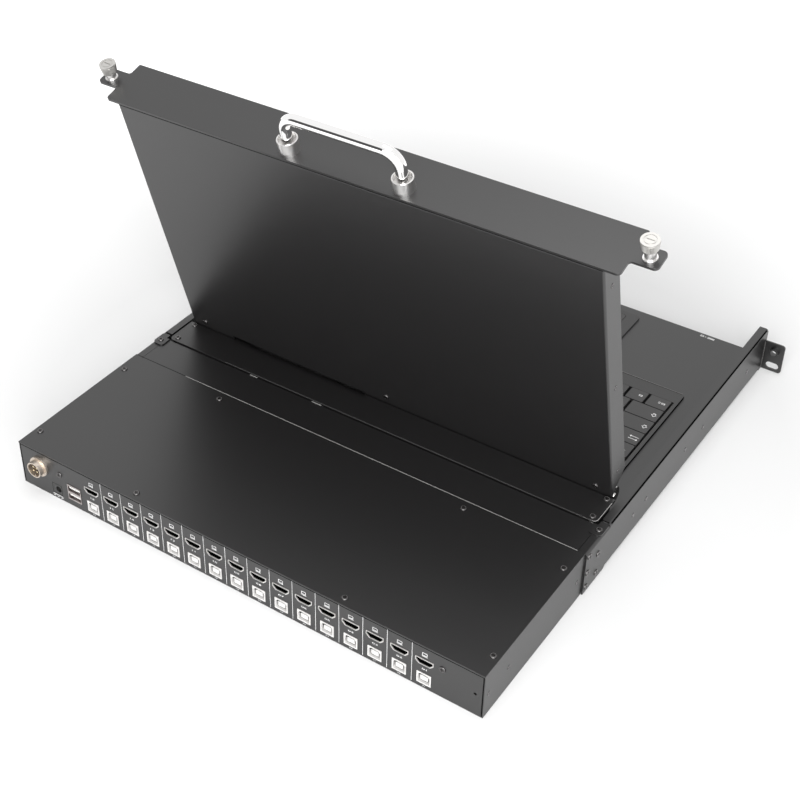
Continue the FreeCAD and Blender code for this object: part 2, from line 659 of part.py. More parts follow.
def channel(web_out, lip_in, half_h, sheet, faces_in):
    """Half of a slide member pair: a C section on the +X side, open inward or outward."""
    y0, y1 = SLIDE_Y0, SLIDE_Y0 + SLIDE_LEN
    if faces_in:
        web = box(web_out - sheet, web_out, y0, y1, SLIDE_Z - half_h, SLIDE_Z + half_h)
        lips = [box(lip_in, web_out, y0, y1, SLIDE_Z + half_h - sheet, SLIDE_Z + half_h),
                box(lip_in, web_out, y0, y1, SLIDE_Z - half_h, SLIDE_Z - half_h + sheet)]
    else:
        web = box(web_out, web_out + sheet, y0, y1, SLIDE_Z - half_h, SLIDE_Z + half_h)
        lips = [box(web_out, lip_in, y0, y1, SLIDE_Z + half_h - sheet, SLIDE_Z + half_h),
                box(web_out, lip_in, y0, y1, SLIDE_Z - half_h, SLIDE_Z - half_h + sheet)]
    return join([web] + lips)


MIDDLE_HALF = SLIDE_HALF_H - SLIDE_SHEET - BALL_GAP
INNER_HALF = MIDDLE_HALF - SLIDE_THIN - BALL_GAP
MIDDLE_OUT = BOX_HALF - SLIDE_SHEET - SLIDE_GAP
INNER_LIP = MIDDLE_OUT - SLIDE_THIN - SLIDE_GAP
RAIL_SCREW_Z = DECK_TOP - 4.5
RAIL_SCREW_R = SCREW_R - 0.25


def slide_outer():
    shape = channel(BOX_HALF, DECK_WALL_OUT + 1.9, SLIDE_HALF_H, SLIDE_SHEET, True)
    return shape.cut([hole(BOX_HALF, y, SLIDE_Z, X_AXIS, SCREW_R, 3) for y in RIVET_YS])


def slide_middle():
    return channel(MIDDLE_OUT, DECK_WALL_OUT + 1.2, MIDDLE_HALF, SLIDE_THIN, True)


def slide_inner():
    shape = channel(DECK_WALL_OUT, INNER_LIP, INNER_HALF, SLIDE_THIN, False)
    return shape.cut([hole(DECK_WALL_OUT, y, RAIL_SCREW_Z, X_AXIS, RAIL_SCREW_R, 3) for y in RAIL_SCREW_YS])


def slide_balls():
    balls = []
    x = (DECK_WALL_OUT + BOX_HALF) / 2 - 0.6
    for i in range(BALLS_PER_RACE):
        y = SLIDE_Y0 + SLIDE_LEN * (0.1 + 0.8 * i / (BALLS_PER_RACE - 1))
        for side in (-1, 1):
            for up in (-1, 1):
                outside = SLIDE_Z + up * (MIDDLE_HALF + BALL_R)
                inside = SLIDE_Z + up * (MIDDLE_HALF - SLIDE_THIN - BALL_R)
                balls.append(Part.makeSphere(BALL_R, V(side * x, y, outside)))
                balls.append(Part.makeSphere(BALL_R, V(side * x, y, inside)))
    return balls


def rivet(y):
    shank = rod(BOX_HALF - SLIDE_SHEET, y, SLIDE_Z, X_AXIS, SCREW_R, SLIDE_SHEET + FRAME_SHEET)
    head = rod(BRACKET_OUT, y, SLIDE_Z, X_AXIS, 2.0, FLAT_HEAD_H)
    tail = rod(BOX_HALF - SLIDE_SHEET - 0.5, y, SLIDE_Z, X_AXIS, 2.0, 0.5)
    return join([shank, head, tail])


# Drawer deck

ROW_DEPTHS = [BOTTOM_ROW] + [KEY_PITCH] * 4 + [TOP_ROW]
KEYS_Y1 = KEY_Y0 + sum(ROW_DEPTHS)
FRAME_Y1 = KEYS_Y1 + FRAME_FRONT
WELL_Z = KEY_TOP - KEY_H - KEY_TRAVEL - 0.4
PLATE_T = 1.5
GUIDE_Z0 = WELL_Z - PLATE_T
KEYBOARD_SKIRT_Z = GUIDE_Z0 - 1.5
KEYBOARD_BASE_Z = KEYBOARD_SKIRT_Z - 1.5
PAD_BASE_Z = PAD_TOP - 4.0


def deck_tray():
    y0, y1 = DECK_Y0, DECK_Y1
    top = box(-DECK_WALL_IN, DECK_WALL_IN, y0, y1, DECK_TOP - SHEET, DECK_TOP)
    front = box(-DECK_WALL_IN, DECK_WALL_IN, y0, y0 + SHEET, DECK_BOTTOM, DECK_TOP)
    back = box(-DECK_WALL_IN, DECK_WALL_IN, y1 - SHEET, y1, DECK_BOTTOM, DECK_TOP)
    wall = rounded_face([(y0, DECK_BOTTOM, 0), (y1, DECK_BOTTOM, 0), (y1, DECK_WALL_TOP, 0),
                         (y0, DECK_WALL_TOP, 8.0)], in_side(DECK_WALL_IN)).extrude(X_AXIS * DECK_WALL)
    tray = join([top, front, back] + pair(wall))
    cuts = [box(-FRAME_HALF + FRAME_RIM, FRAME_HALF - FRAME_RIM, FRAME_Y0 + FRAME_RIM, FRAME_Y1 - FRAME_RIM,
                DECK_TOP - 5, DECK_TOP + 5),
            box(PAD_X0 + 2, PAD_X1 - 2, PAD_Y0 + 2, PAD_Y1 - 2, DECK_TOP - 5, DECK_TOP + 5)]
    cuts += [hole(side * DECK_WALL_OUT, y, RAIL_SCREW_Z, X_AXIS, RAIL_SCREW_R, 3)
             for y in RAIL_SCREW_YS for side in (-1, 1)]
    return tray.cut(cuts)


def deck_bottom():
    """Closing plate with two cross ribs that carry the keyboard base."""
    z0, z1 = DECK_BOTTOM, DECK_BOTTOM + SHEET
    plate = box(-DECK_WALL_IN, DECK_WALL_IN, DECK_Y0 + SHEET, DECK_Y1 - SHEET, z0, z1)
    half = KEYS_HALF - 9.0
    ribs = [box(-half, half, y - 3, y + 3, z1, KEYBOARD_BASE_Z) for y in (FRAME_Y0 + 22, FRAME_Y1 - 22)]
    return join([plate] + ribs)


def rail_screws():
    screws = []
    for y in RAIL_SCREW_YS:
        shank = rod(DECK_WALL_IN, y, RAIL_SCREW_Z, X_AXIS, RAIL_SCREW_R, DECK_WALL + SLIDE_THIN)
        head = rod(DECK_WALL_IN - 1.2, y, RAIL_SCREW_Z, X_AXIS, 2.4, 1.2)
        screws += pair(shank.fuse(head))
    return screws


# Keyboard: rows from the user's side, widths in key pitches, None leaves a space

SPACE_START = 4.4
SPACE_WIDTH = 5.6
NUMBER_PAD = KEY_COLUMNS - 4
KEY_ROWS = [
    [(0, 1.14), (1.14, 1.0), (2.14, 1.13), (3.27, 1.13), (10, 1.1), (11.1, 1.1), (12.2, 1.1)]
    + [(13.3, 0.93), (14.23, 0.93), (15.16, 0.93)] + [(NUMBER_PAD, 2), (NUMBER_PAD + 2, 1), (NUMBER_PAD + 3, 1)],
    [(0, 1.68)] + [(1.68 + i, 1) for i in range(10)] + [(11.68, 2.55), (14.23, 0.93), (15.16, 0.93)]
    + [(NUMBER_PAD + i, 1) for i in range(4)],
    [(0, 1.75)] + [(1.75 + i, 1) for i in range(12)] + [(13.75, 1.4), (15.15, 0.94)]
    + [(NUMBER_PAD + i, 1) for i in range(4)],
    [(0, 1.5)] + [(1.5 + i, 1) for i in range(12)] + [(13.5, 1.65), (15.15, 0.94)]
    + [(NUMBER_PAD + i, 1) for i in range(4)],
    [(i, 1) for i in range(13)] + [(13, 2.15), (15.15, 0.94)] + [(NUMBER_PAD + i, 1) for i in range(4)],
    [(i * 1.005, 1.005) for i in range(20)],
]


def row_y(row):
    return KEY_Y0 + sum(ROW_DEPTHS[:row])


def key_cap(row, start, width):
    x0 = -KEYS_HALF + start * KEY_PITCH + KEY_COLUMN_GAP / 2
    x1 = -KEYS_HALF + (start + width) * KEY_PITCH - KEY_COLUMN_GAP / 2
    y0 = row_y(row) + KEY_GAP / 2
    y1 = row_y(row) + ROW_DEPTHS[row] - KEY_GAP / 2
    z0 = KEY_TOP - KEY_H
    cap = rounded_face(rectangle(x0, x1, y0, y1, KEY_CORNER), in_plan(z0)).extrude(Z_AXIS * KEY_H)
    cx, cy = (x0 + x1) / 2, (y0 + y1) / 2
    stem = box(cx - STEM / 2, cx + STEM / 2, cy - STEM / 2, cy + STEM / 2, GUIDE_Z0 + 0.6, z0)
    return cap.fuse(stem), (cx, cy)


def keyboard():
    """Caps of each row, the space bar, and the guide plate with one square hole per stem."""
    rows = []
    holes = []
    reach = STEM / 2 + STEM_FIT
    for row, keys in enumerate(KEY_ROWS):
        caps = []
        for start, width in keys:
            cap, (cx, cy) = key_cap(row, start, width)
            caps.append(cap)
            holes.append(box(cx - reach, cx + reach, cy - reach, cy + reach, GUIDE_Z0 - 1, WELL_Z + 1))
        rows.append(caps)
    space, (cx, cy) = key_cap(0, SPACE_START, SPACE_WIDTH)
    holes.append(box(cx - reach, cx + reach, cy - reach, cy + reach, GUIDE_Z0 - 1, WELL_Z + 1))
    guide = box(-KEYS_HALF - 1, KEYS_HALF + 1, KEY_Y0 - 1, KEYS_Y1 + 1, GUIDE_Z0, WELL_Z).cut(holes)
    return rows, space, guide


def keyboard_frame():
    """Rim on the deck with a skirt down to the keyboard base."""
    rim = rounded_face(rectangle(-FRAME_HALF, FRAME_HALF, FRAME_Y0, FRAME_Y1, 3.0),
                       in_plan(DECK_TOP)).extrude(Z_AXIS * (FRAME_TOP - DECK_TOP))
    skirt = box(-FRAME_HALF + FRAME_RIM, FRAME_HALF - FRAME_RIM, FRAME_Y0 + FRAME_RIM, FRAME_Y1 - FRAME_RIM,
                KEYBOARD_SKIRT_Z, DECK_TOP)
    half = KEYS_HALF + KEYS_SIDE_GAP
    well = rounded_face(rectangle(-half, half, KEY_Y0, KEYS_Y1, 1.5), in_plan(GUIDE_Z0)).extrude(Z_AXIS * 20)
    seat = box(-KEYS_HALF - 1, KEYS_HALF + 1, KEY_Y0 - 1, KEYS_Y1 + 1, GUIDE_Z0, WELL_Z)
    sump = box(-KEYS_HALF + 2, KEYS_HALF - 2, KEY_Y0 + 2, KEYS_Y1 - 2, KEYBOARD_SKIRT_Z - 1, GUIDE_Z0)
    return rim.fuse(skirt).cut([well, seat, sump])


def keyboard_base():
    return box(-FRAME_HALF + FRAME_RIM, FRAME_HALF - FRAME_RIM, FRAME_Y0 + FRAME_RIM, FRAME_Y1 - FRAME_RIM,
               KEYBOARD_BASE_Z, KEYBOARD_SKIRT_Z)


def touchpad_parts():
    frame = rounded_face(rectangle(PAD_X0, PAD_X1, PAD_Y0, PAD_Y1, 3.0),
                         in_plan(DECK_TOP)).extrude(Z_AXIS * (PAD_TOP - DECK_TOP))
    tub = box(PAD_X0 + 2, PAD_X1 - 2, PAD_Y0 + 2, PAD_Y1 - 2, PAD_BASE_Z, DECK_TOP)
    x0, x1 = PAD_X0 + PAD_RIM, PAD_X1 - PAD_RIM
    middle = (PAD_X0 + PAD_X1) / 2
    by0 = PAD_Y0 + PAD_REAR_RIM
    by1 = by0 + PAD_BUTTON_D
    outline = rectangle(x0, x1, by1 + PAD_BAR, PAD_Y1 - PAD_REAR_RIM, 3.0)
    field = rounded_face(outline, in_plan(PAD_TOP - 1.4)).extrude(Z_AXIS * 3)
    pocket = rounded_face(rectangle(x0, x1, by0, by1, 3.0), in_plan(PAD_BASE_Z + 1.0)).extrude(Z_AXIS * 6)
    frame = frame.fuse(tub).removeSplitter().cut([field, pocket])
    surface = rounded_face(outline, in_plan(PAD_TOP - 1.4)).extrude(Z_AXIS * 1.1)
    buttons = []
    foot = PAD_BASE_Z + 1.0 + PAD_TRAVEL + 0.1
    for a, b in ((x0 + CLEAR, middle - CLEAR / 2), (middle + CLEAR / 2, x1 - CLEAR)):
        points = rectangle(a, b, by0 + CLEAR, by1 - CLEAR, 2.4)
        buttons.append(rounded_face(points, in_plan(foot)).extrude(Z_AXIS * (PAD_TOP + 0.1 - foot)))
    return frame, surface, buttons


# Hinge plate and hinges

PLATE_LEG_X = DECK_WALL_IN - 0.7 - SHEET
PLATE_SCREWS = [(PLATE_LEG_X - 1.8, PLATE_Y0 + 2.9), (PLATE_LEG_X - 1.8, DECK_Y1 - 5.0)]
ARM_FOOT_Y0 = PLATE_Y0 + 3.2
ARM_FOOT_Y1 = DECK_Y1 - 5.0
ARM_FOOT_T = 2.0


def hinge_plate():
    z0 = BOX_H - SHEET
    top = rounded_face([(-PLATE_HALF, PLATE_Y0, 0), (PLATE_HALF, PLATE_Y0, 0), (PLATE_HALF, DECK_Y1, PLATE_CORNER),
                        (-PLATE_HALF, DECK_Y1, PLATE_CORNER)], in_plan(z0)).extrude(Z_AXIS * SHEET)
    back_half = PLATE_HALF - 7.8
    x0, x1 = PLATE_LEG_X, PLATE_LEG_X + SHEET
    back = box(-back_half, back_half, DECK_Y1 - SHEET, DECK_Y1, DECK_TOP, z0)
    legs = pair(box(x0, x1, PLATE_Y0 + 1.2, DECK_Y1 - 3.5, DECK_TOP, z0))
    lugs = pair(box(x0 - 6.8, x1, PLATE_Y0 + 1.2, DECK_Y1 - 3.5, z0 - SHEET, z0))
    plate = join([top, back] + legs + lugs)
    return plate.cut([hole(side * x, y, BOX_H, Z_AXIS, SCREW_R, 4) for x, y in PLATE_SCREWS for side in (-1, 1)])


def hinge_fixed():
    """Foot on the deck, riser, arm and barrel around the hinge axis."""
    x0, x1 = HINGE_X0, HINGE_X0 + HINGE_W
    foot = box(x0, x1 + 9, ARM_FOOT_Y0, ARM_FOOT_Y1, DECK_TOP, DECK_TOP + ARM_FOOT_T)
    riser = rounded_face([(ARM_FOOT_Y0, DECK_TOP, 0), (ARM_FOOT_Y1, DECK_TOP, 0), (ARM_FOOT_Y1, DECK_TOP + 6, 2.0),
                          (ARM_FOOT_Y0 + 6, AXIS_Z + 3, 4.0), (AXIS_Y, AXIS_Z + 3, 0), (AXIS_Y, AXIS_Z - 3, 0),
                          (ARM_FOOT_Y0, AXIS_Z - 3, 2.0)], in_side(x0)).extrude(X_AXIS * HINGE_W)
    barrel = rod(x0, AXIS_Y, AXIS_Z, X_AXIS, KNUCKLE_R, HINGE_W)
    return join([foot, riser, barrel]).cut(rod(x0 - 1, AXIS_Y, AXIS_Z, X_AXIS, PIN_R, HINGE_W + 2))


def hinge_leaf():
    """Barrel and leaf that carry the lid, drawn closed."""
    x0, x1 = HINGE_X0 + HINGE_W + HINGE_GAP, HINGE_OUT - 0.8
    barrel = rod(x0, AXIS_Y, AXIS_Z, X_AXIS, KNUCKLE_R, x1 - x0)
    z1 = BOX_H - SHEET
    leaf_y0 = AXIS_Y - LEAF_LEN
    web = rounded_face([(AXIS_Y, AXIS_Z + KNUCKLE_R, 0), (leaf_y0, z1, 0), (leaf_y0, z1 - LEAF_T, 0),
                        (AXIS_Y - 16, z1 - LEAF_T, 6.0), (AXIS_Y - 4, AXIS_Z - 4, 0), (AXIS_Y, AXIS_Z, 0)],
                       in_side(x0)).extrude(X_AXIS * (x1 - x0))
    foot = box(HINGE_X0 + 1.5, x1, leaf_y0, AXIS_Y - 15, z1 - LEAF_T, z1)
    leaf = join([barrel, web, foot])
    cuts = [rod(x0 - 1, AXIS_Y, AXIS_Z, X_AXIS, PIN_R + PIN_FIT, x1 - x0 + 2)]
    cuts += [hole(x, y, z1, Z_AXIS, SCREW_R, 6) for x, y in BACK_SCREWS if x > 0]
    return leaf.cut(cuts)


def hinge_pin():
    shaft = rod(HINGE_X0 - 1.5, AXIS_Y, AXIS_Z, X_AXIS, PIN_R, HINGE_OUT - HINGE_X0 + 1.5)
    head = rod(HINGE_X0 - 1.5, AXIS_Y, AXIS_Z, X_AXIS, PIN_R + 1.6, 1.5)
    return shaft.fuse(head)


# Lid

BACK_SCREWS = [(14.7 - LID_HALF, AXIS_Y - 21.0), (LID_HALF - 14.7, AXIS_Y - 21.0), (0.0, AXIS_Y - 22.3)]
LID_SCREW_SHARES = (0.138, 0.512, 0.911)
LID_SIDE_SCREWS = [AXIS_Y - LID_LEN * share for share in LID_SCREW_SHARES]
LID_MID_Z = BOX_H - 10.4
CAVITY_Z0 = LID_Z0 + BEZEL_T
CABLE_SLOT_X = (LID_HALF * 0.105, LID_HALF * 0.785)
PANEL_BOLT_XS = (PANEL_HALF * 0.5, PANEL_HALF * 0.86)
PANEL_BOLT_Z = BOX_H - 11.0
PANEL_BOLTS = [(side * x, PANEL_BOLT_Z) for x in PANEL_BOLT_XS for side in (-1, 1)]
PANEL_BOLT_BITE = 1.2


def lid_back():
    """Folded shell: plate, front and side walls bent down from it, and the half-round nose at the hinge."""
    z0, z1 = BOX_H - SHEET, BOX_H
    y_far = AXIS_Y + 10
    solid = box(-LID_HALF, LID_HALF, LID_FRONT_Y, y_far, LID_Z0, z1)
    folds = [edge for edge in solid.Edges
             if abs(edge.CenterOfMass.z - z1) < 0.01 and edge.CenterOfMass.y < AXIS_Y]
    solid = solid.makeFillet(LID_BEND_R, folds)
    inside = box(-LID_HALF + SHEET, LID_HALF - SHEET, LID_FRONT_Y + SHEET, y_far + 1, LID_Z0 - 1, z0)
    side_cut = rounded_face([(AXIS_Y - SIDE_END_TOP, z0, 0), (AXIS_Y - SIDE_END_LOW, LID_Z0 - 1, 0),
                             (y_far + 1, LID_Z0 - 1, 0), (y_far + 1, z0, 0)], in_side(-LID_HALF - 1))
    beyond = box(-LID_HALF - 1, LID_HALF + 1, AXIS_Y, y_far + 1, LID_Z0 - 1, z1 + 1)
    shell = solid.cut([inside, side_cut.extrude(X_AXIS * (2 * LID_HALF + 2)), beyond])
    nose = tube(-NOSE_HALF, AXIS_Y, AXIS_Z, X_AXIS, NOSE_R, NOSE_R - SHEET, 2 * NOSE_HALF)
    nose = nose.cut(box(-NOSE_HALF - 1, NOSE_HALF + 1, AXIS_Y - 20, AXIS_Y, 0, z1 + 20))
    under = box(-NOSE_HALF, NOSE_HALF, AXIS_Y - SIDE_END_LOW - 6, AXIS_Y,
                AXIS_Z - NOSE_R, AXIS_Z - NOSE_R + SHEET)
    shell = join([shell, nose, under])
    cuts = pair(box(HINGE_X0 - 2, LID_HALF + 1, AXIS_Y - 11, AXIS_Y + 20, 0, z1 + 20))
    cuts.append(box(CABLE_SLOT_X[0], CABLE_SLOT_X[1], AXIS_Y - 17, AXIS_Y - 9, z0 - 1, z1 + 1))
    cuts += [hole(x, y, z1, Z_AXIS, SCREW_R, 4) for x, y in BACK_SCREWS]
    cuts += [hole(side * LID_HALF, y, LID_MID_Z, X_AXIS, SCREW_R, 3)
             for y in LID_SIDE_SCREWS for side in (-1, 1)]
    cuts += [hole(x, LID_FRONT_Y, HANDLE_Z, Y_AXIS, HANDLE_BOLT_R + HOLE_FIT, 4)
             for x in (-HANDLE_HALF, HANDLE_HALF)]
    cuts += [hole(x, LID_FRONT_Y, z, Y_AXIS, SCREW_R + HOLE_FIT, 4) for x, z in PANEL_BOLTS]
    return shell.cut(cuts)


def front_panel():
    z0, z1 = PANEL_Z0, PANEL_Z0 + PANEL_H
    right = [(PANEL_HALF, z0, PANEL_LOW_R), (PANEL_HALF, TAB_Z0, TAB_ROOT_R), (EAR_HALF, TAB_Z0, TAB_CORNER),
             (EAR_HALF, TAB_Z1, TAB_CORNER), (PANEL_HALF, TAB_Z1, TAB_ROOT_R), (PANEL_HALF, z1, PANEL_TOP_R)]
    left = [(-x, z, radius) for x, z, radius in reversed(right)]
    panel = rounded_face(right + left, in_front(PANEL_FACE_Y)).extrude(Y_AXIS * PANEL_SHEET)
    cuts = [hole(x, LID_FRONT_Y, HANDLE_Z, Y_AXIS, HANDLE_BOLT_R + HOLE_FIT, 4)
            for x in (-HANDLE_HALF, HANDLE_HALF)]
    cuts += [hole(x, LID_FRONT_Y, EAR_THREAD_Z, Y_AXIS, SLEEVE_R, 4) for x in (-EAR_HOLE_X, EAR_HOLE_X)]
    cuts += [rod(x, LID_FRONT_Y - PANEL_BOLT_BITE, z, Y_AXIS, SCREW_R, 4) for x, z in PANEL_BOLTS]
    return panel.cut(cuts)


def panel_bolts():
    y = LID_FRONT_Y + SHEET
    return [screw(x, y, z, Y_AXIS, head_h=1.4, length=SHEET + PANEL_BOLT_BITE) for x, z in PANEL_BOLTS]


MODULE_HALF_W = LID_HALF - MODULE_SIDE_ROOM
MODULE_Y0 = LID_FRONT_Y + MODULE_FRONT_ROOM
MODULE_Y1 = AXIS_Y - MODULE_REAR_ROOM


def lid_bezel():
    plate = box(-LID_HALF + SHEET, LID_HALF - SHEET, LID_FRONT_Y + SHEET, AXIS_Y - SIDE_END_LOW - 6.5,
                LID_Z0, CAVITY_Z0)
    edge = SCREEN_EDGE
    window = box(-MODULE_HALF_W + edge, MODULE_HALF_W - edge, MODULE_Y0 + edge, MODULE_Y1 - edge, 0, BOX_H)
    rails = []
    for y in LID_SIDE_SCREWS:
        rails += pair(box(LID_HALF - SHEET - 6, LID_HALF - SHEET, y - 6, y + 6, CAVITY_Z0, LID_MID_Z + 4))
    bezel = join([plate.cut(window)] + rails)
    x = LID_HALF
    return bezel.cut([hole(side * x, y, LID_MID_Z, X_AXIS, SCREW_R, 8)
                      for y in LID_SIDE_SCREWS for side in (-1, 1)])


def screen_parts():
    half_w, z0 = MODULE_HALF_W, CAVITY_Z0
    glass = box(-half_w, half_w, MODULE_Y0, MODULE_Y1, z0, z0 + GLASS_T)
    chassis = box(-half_w, half_w, MODULE_Y0, MODULE_Y1, z0 + GLASS_T, z0 + MODULE_T)
    z1 = z0 + MODULE_T
    struts = pair(box(half_w - 10, half_w, MODULE_Y0 + 10, MODULE_Y1 - 10, z1, BOX_H - SHEET))
    return glass, join([chassis] + struts)


def handle_rod():
    y0 = PANEL_FACE_Y
    rise, bend, half = HANDLE_RISE, HANDLE_BEND, HANDLE_HALF
    top = y0 - rise
    start, end = V(-half, y0, HANDLE_Z), V(half, y0, HANDLE_Z)
    turn = bend * (1 - math.sqrt(0.5))
    a0, a1 = V(-half, top + bend, HANDLE_Z), V(-half + bend, top, HANDLE_Z)
    b0, b1 = V(half - bend, top, HANDLE_Z), V(half, top + bend, HANDLE_Z)
    edges = [Part.makeLine(start, a0),
             Part.Arc(a0, V(-half + turn, top + turn, HANDLE_Z), a1).toShape(),
             Part.makeLine(a1, b0),
             Part.Arc(b0, V(half - turn, top + turn, HANDLE_Z), b1).toShape(),
             Part.makeLine(b1, end)]
    path = Part.Wire(edges)
    ring = Part.Wire(Part.makeCircle(HANDLE_ROD_R, start, Y_AXIS))
    bar = path.makePipeShell([ring], True, False)
    bores = [rod(x, y0 - 12, HANDLE_Z, Y_AXIS, HANDLE_BOLT_R, 12) for x in (-half, half)]
    return bar.cut(bores)


def handle_ferrule(x):
    y0 = PANEL_FACE_Y
    body = rod(x, y0 - FERRULE_H, HANDLE_Z, Y_AXIS, FERRULE_R, FERRULE_H)
    body = body.cut(rod(x, y0 - FERRULE_H, HANDLE_Z, Y_AXIS, FERRULE_R - 1.1, FERRULE_CUP))
    return body.cut(rod(x, y0 - FERRULE_H, HANDLE_Z, Y_AXIS, HANDLE_ROD_R + HOLE_FIT, FERRULE_H))


def handle_bolt(x):
    y = LID_FRONT_Y + SHEET
    return screw(x, y, HANDLE_Z, Y_AXIS, head_r=4.4, head_h=2.6, shank_r=HANDLE_BOLT_R, length=12)


def thumb_parts(x, pushed):
    """Sleeve in the panel tab, washer inside it, and the captive screw, pushed in from its stop."""
    y0, z = PANEL_FACE_Y, EAR_THREAD_Z
    top = KNOB_LIFT - 0.6
    back = PANEL_SHEET
    sleeve = rod(x, y0 - top, z, Y_AXIS, SLEEVE_R, top + back)
    sleeve = sleeve.fuse(rod(x, y0 - RING_H, z, Y_AXIS, RING_R, RING_H))
    rim = 1.2
    sleeve = sleeve.cut([rod(x, y0 - top + rim, z, Y_AXIS, SLEEVE_BORE, top + back),
                         rod(x, y0 - top - 1, z, Y_AXIS, NECK_R + 0.1, top + back)])
    shoulder = top - rim - 1.3
    washer = tube(x, y0 - shoulder - 0.9, z, Y_AXIS, SLEEVE_BORE - 0.3, NECK_R + 0.1, 0.5)
    knob_top = y0 - KNOB_LIFT - KNOB_H
    knob = Part.makeCone(KNOB_R, KNOB_FOOT_R, KNOB_H, V(x, knob_top, z), Y_AXIS)
    knob = knob.cut(rod(x, knob_top + 1.2, z, Y_AXIS, KNOB_SKIRT_R, KNOB_H))
    knob = knob.cut(tube(x, knob_top, z, Y_AXIS, KNOB_R * 0.68, KNOB_R * 0.6, 0.4))
    neck = rod(x, knob_top + 1.0, z, Y_AXIS, NECK_R, y0 - shoulder - knob_top - 1.0)
    thread = rod(x, y0 - shoulder, z, Y_AXIS, THREAD_R, shoulder + back - THREAD_HOLD)
    slot = box(x - 3.0, x + 3.0, knob_top - 1, knob_top + 0.7, z - 0.5, z + 0.5)
    turned = join([knob, neck, thread]).cut(slot)
    shift = Y_AXIS * pushed
    return sleeve, washer.translated(shift), turned.translated(shift)


def build():
    os.makedirs("parts", exist_ok=True)

    # Switch box
    save("base_tray", base_tray())
    save("top_cover", top_cover())
    save("rear_panel", rear_panel())
    lower, upper = circuit_boards()
    save("lower_board", lower)
    save("upper_board", upper)
    save("board_spacers", board_spacers())
    save("hdmi_shells", [hdmi_shell(x) for x in PORT_XS])
    save("hdmi_tongues", [hdmi_tongue(x) for x in PORT_XS])
    save("usb_b_shells", [usb_b_shell(x) for x in PORT_XS])
    usb_a_shell, usb_a_tongues = usb_a_parts()
    save("usb_a_shell", usb_a_shell)
    save("usb_blocks", [usb_b_block(x) for x in PORT_XS] + usb_a_tongues)
    dc_body, dc_pin = dc_jack_parts()
    save("dc_jack_body", dc_body)
    shell, insert, pins, nut = round_connector_parts()
    save("round_socket_shell", shell)
    save("round_socket_insert", insert)
    save("power_pins", [dc_pin] + pins)
    box_screws = [screw(side * x, y, BOX_H, Z_AXIS) for x, y in COVER_SCREWS for side in (-1, 1)]
    box_screws += [screw(side * BOX_HALF, y, z, X_AXIS * side, head_r=FLAT_HEAD_R, head_h=FLAT_HEAD_H)
                   for y, z in SIDE_SCREWS for side in (-1, 1)]
    box_screws += [screw(x, REAR_Y, z, Y_AXIS) for x, z in PANEL_SCREWS]
    save("box_fasteners", box_screws + [nut])

    # Brackets and bridge
    right_bracket = bracket()
    save("right_bracket", right_bracket)
    save("left_bracket", mirror(right_bracket))
    save("coupling_angles", pair(coupling_angle()))
    save("bridge_cover", bridge_cover())
    joint_screws = [screw(BRACKET_OUT, y, z, X_AXIS, length=3.4) for y, z in JOINT_SCREWS]
    joint_screws.append(screw(TONGUE_SCREW[0], TONGUE_SCREW[1], BOX_H, Z_AXIS))
    inner_y = SEAM_Y - LEG_T
    joint_screws += [screw(COUPLING_SCREW_X, inner_y, z, Y_AXIS * -1) for z in COUPLING_SCREW_ZS]
    save("bracket_screws", [s for one in joint_screws for s in pair(one)])

    # Slides
    save("slide_outers", pair(slide_outer()))
    save("slide_rivets", [s for y in RIVET_YS for s in pair(rivet(y))])
    save("slide_middles", pair(slide_middle()))
    save("slide_balls", slide_balls())
    save("slide_inners", pair(slide_inner()))

    # Drawer
    save("deck_tray", deck_tray())
    save("deck_bottom", deck_bottom())
    rows, space, guide = keyboard()
    save("keyboard_frame", keyboard_frame())
    save("keyboard_base", keyboard_base())
    save("keyboard_guide", guide)
    for i, caps in enumerate(rows):
        save("key_row_%d" % (i + 1), caps)
    save("space_bar", space)
    pad_frame, pad_surface, pad_buttons = touchpad_parts()
    save("touchpad_frame", pad_frame)
    save("touchpad_surface", pad_surface)
    save("touchpad_button_left", pad_buttons[0])
    save("touchpad_button_right", pad_buttons[1])
    save("hinge_plate", hinge_plate())
    plate_screws = [screw(side * x, y, BOX_H, Z_AXIS, length=2.2) for x, y in PLATE_SCREWS for side in (-1, 1)]
    save("drawer_screws", plate_screws + rail_screws())
    save("hinge_arms", pair(hinge_fixed()))
    save("hinge_pins", pair(hinge_pin()))

    # Lid
    save("hinge_leaves", [opened(s) for s in pair(hinge_leaf())])
    save("lid_back", opened(lid_back()))
    save("front_panel", opened(front_panel()))
    save("lid_bezel", opened(lid_bezel()))
    glass, frame = screen_parts()
    save("screen_glass", opened(glass))
    save("screen_frame", opened(frame))
    lid_screws = [screw(x, y, BOX_H, Z_AXIS, length=2.4) for x, y in BACK_SCREWS]
    lid_screws += [screw(side * LID_HALF, y, LID_MID_Z, X_AXIS * side, head_r=FLAT_HEAD_R, head_h=FLAT_HEAD_H)
                   for y in LID_SIDE_SCREWS for side in (-1, 1)]
    lid_screws += panel_bolts() + [handle_bolt(x) for x in (-HANDLE_HALF, HANDLE_HALF)]
    save("lid_screws", [opened(s) for s in lid_screws])
    save("handle_rod", opened(handle_rod()))
    save("handle_ferrules", [opened(handle_ferrule(x)) for x in (-HANDLE_HALF, HANDLE_HALF)])
    sleeves = []
    for name, x, pushed in (("left", -EAR_HOLE_X, 0.0), ("right", EAR_HOLE_X, RIGHT_THUMB_IN)):
        sleeve, washer, knob = thumb_parts(x, pushed)
        sleeves.append(opened(sleeve))
        save("%s_thumb_washer" % name, opened(washer))
        save("%s_thumbscrew" % name, opened(knob))
    save("thumb_sleeves", sleeves)


build()
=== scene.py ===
import json
import math

import bpy
from mathutils import Matrix, Vector


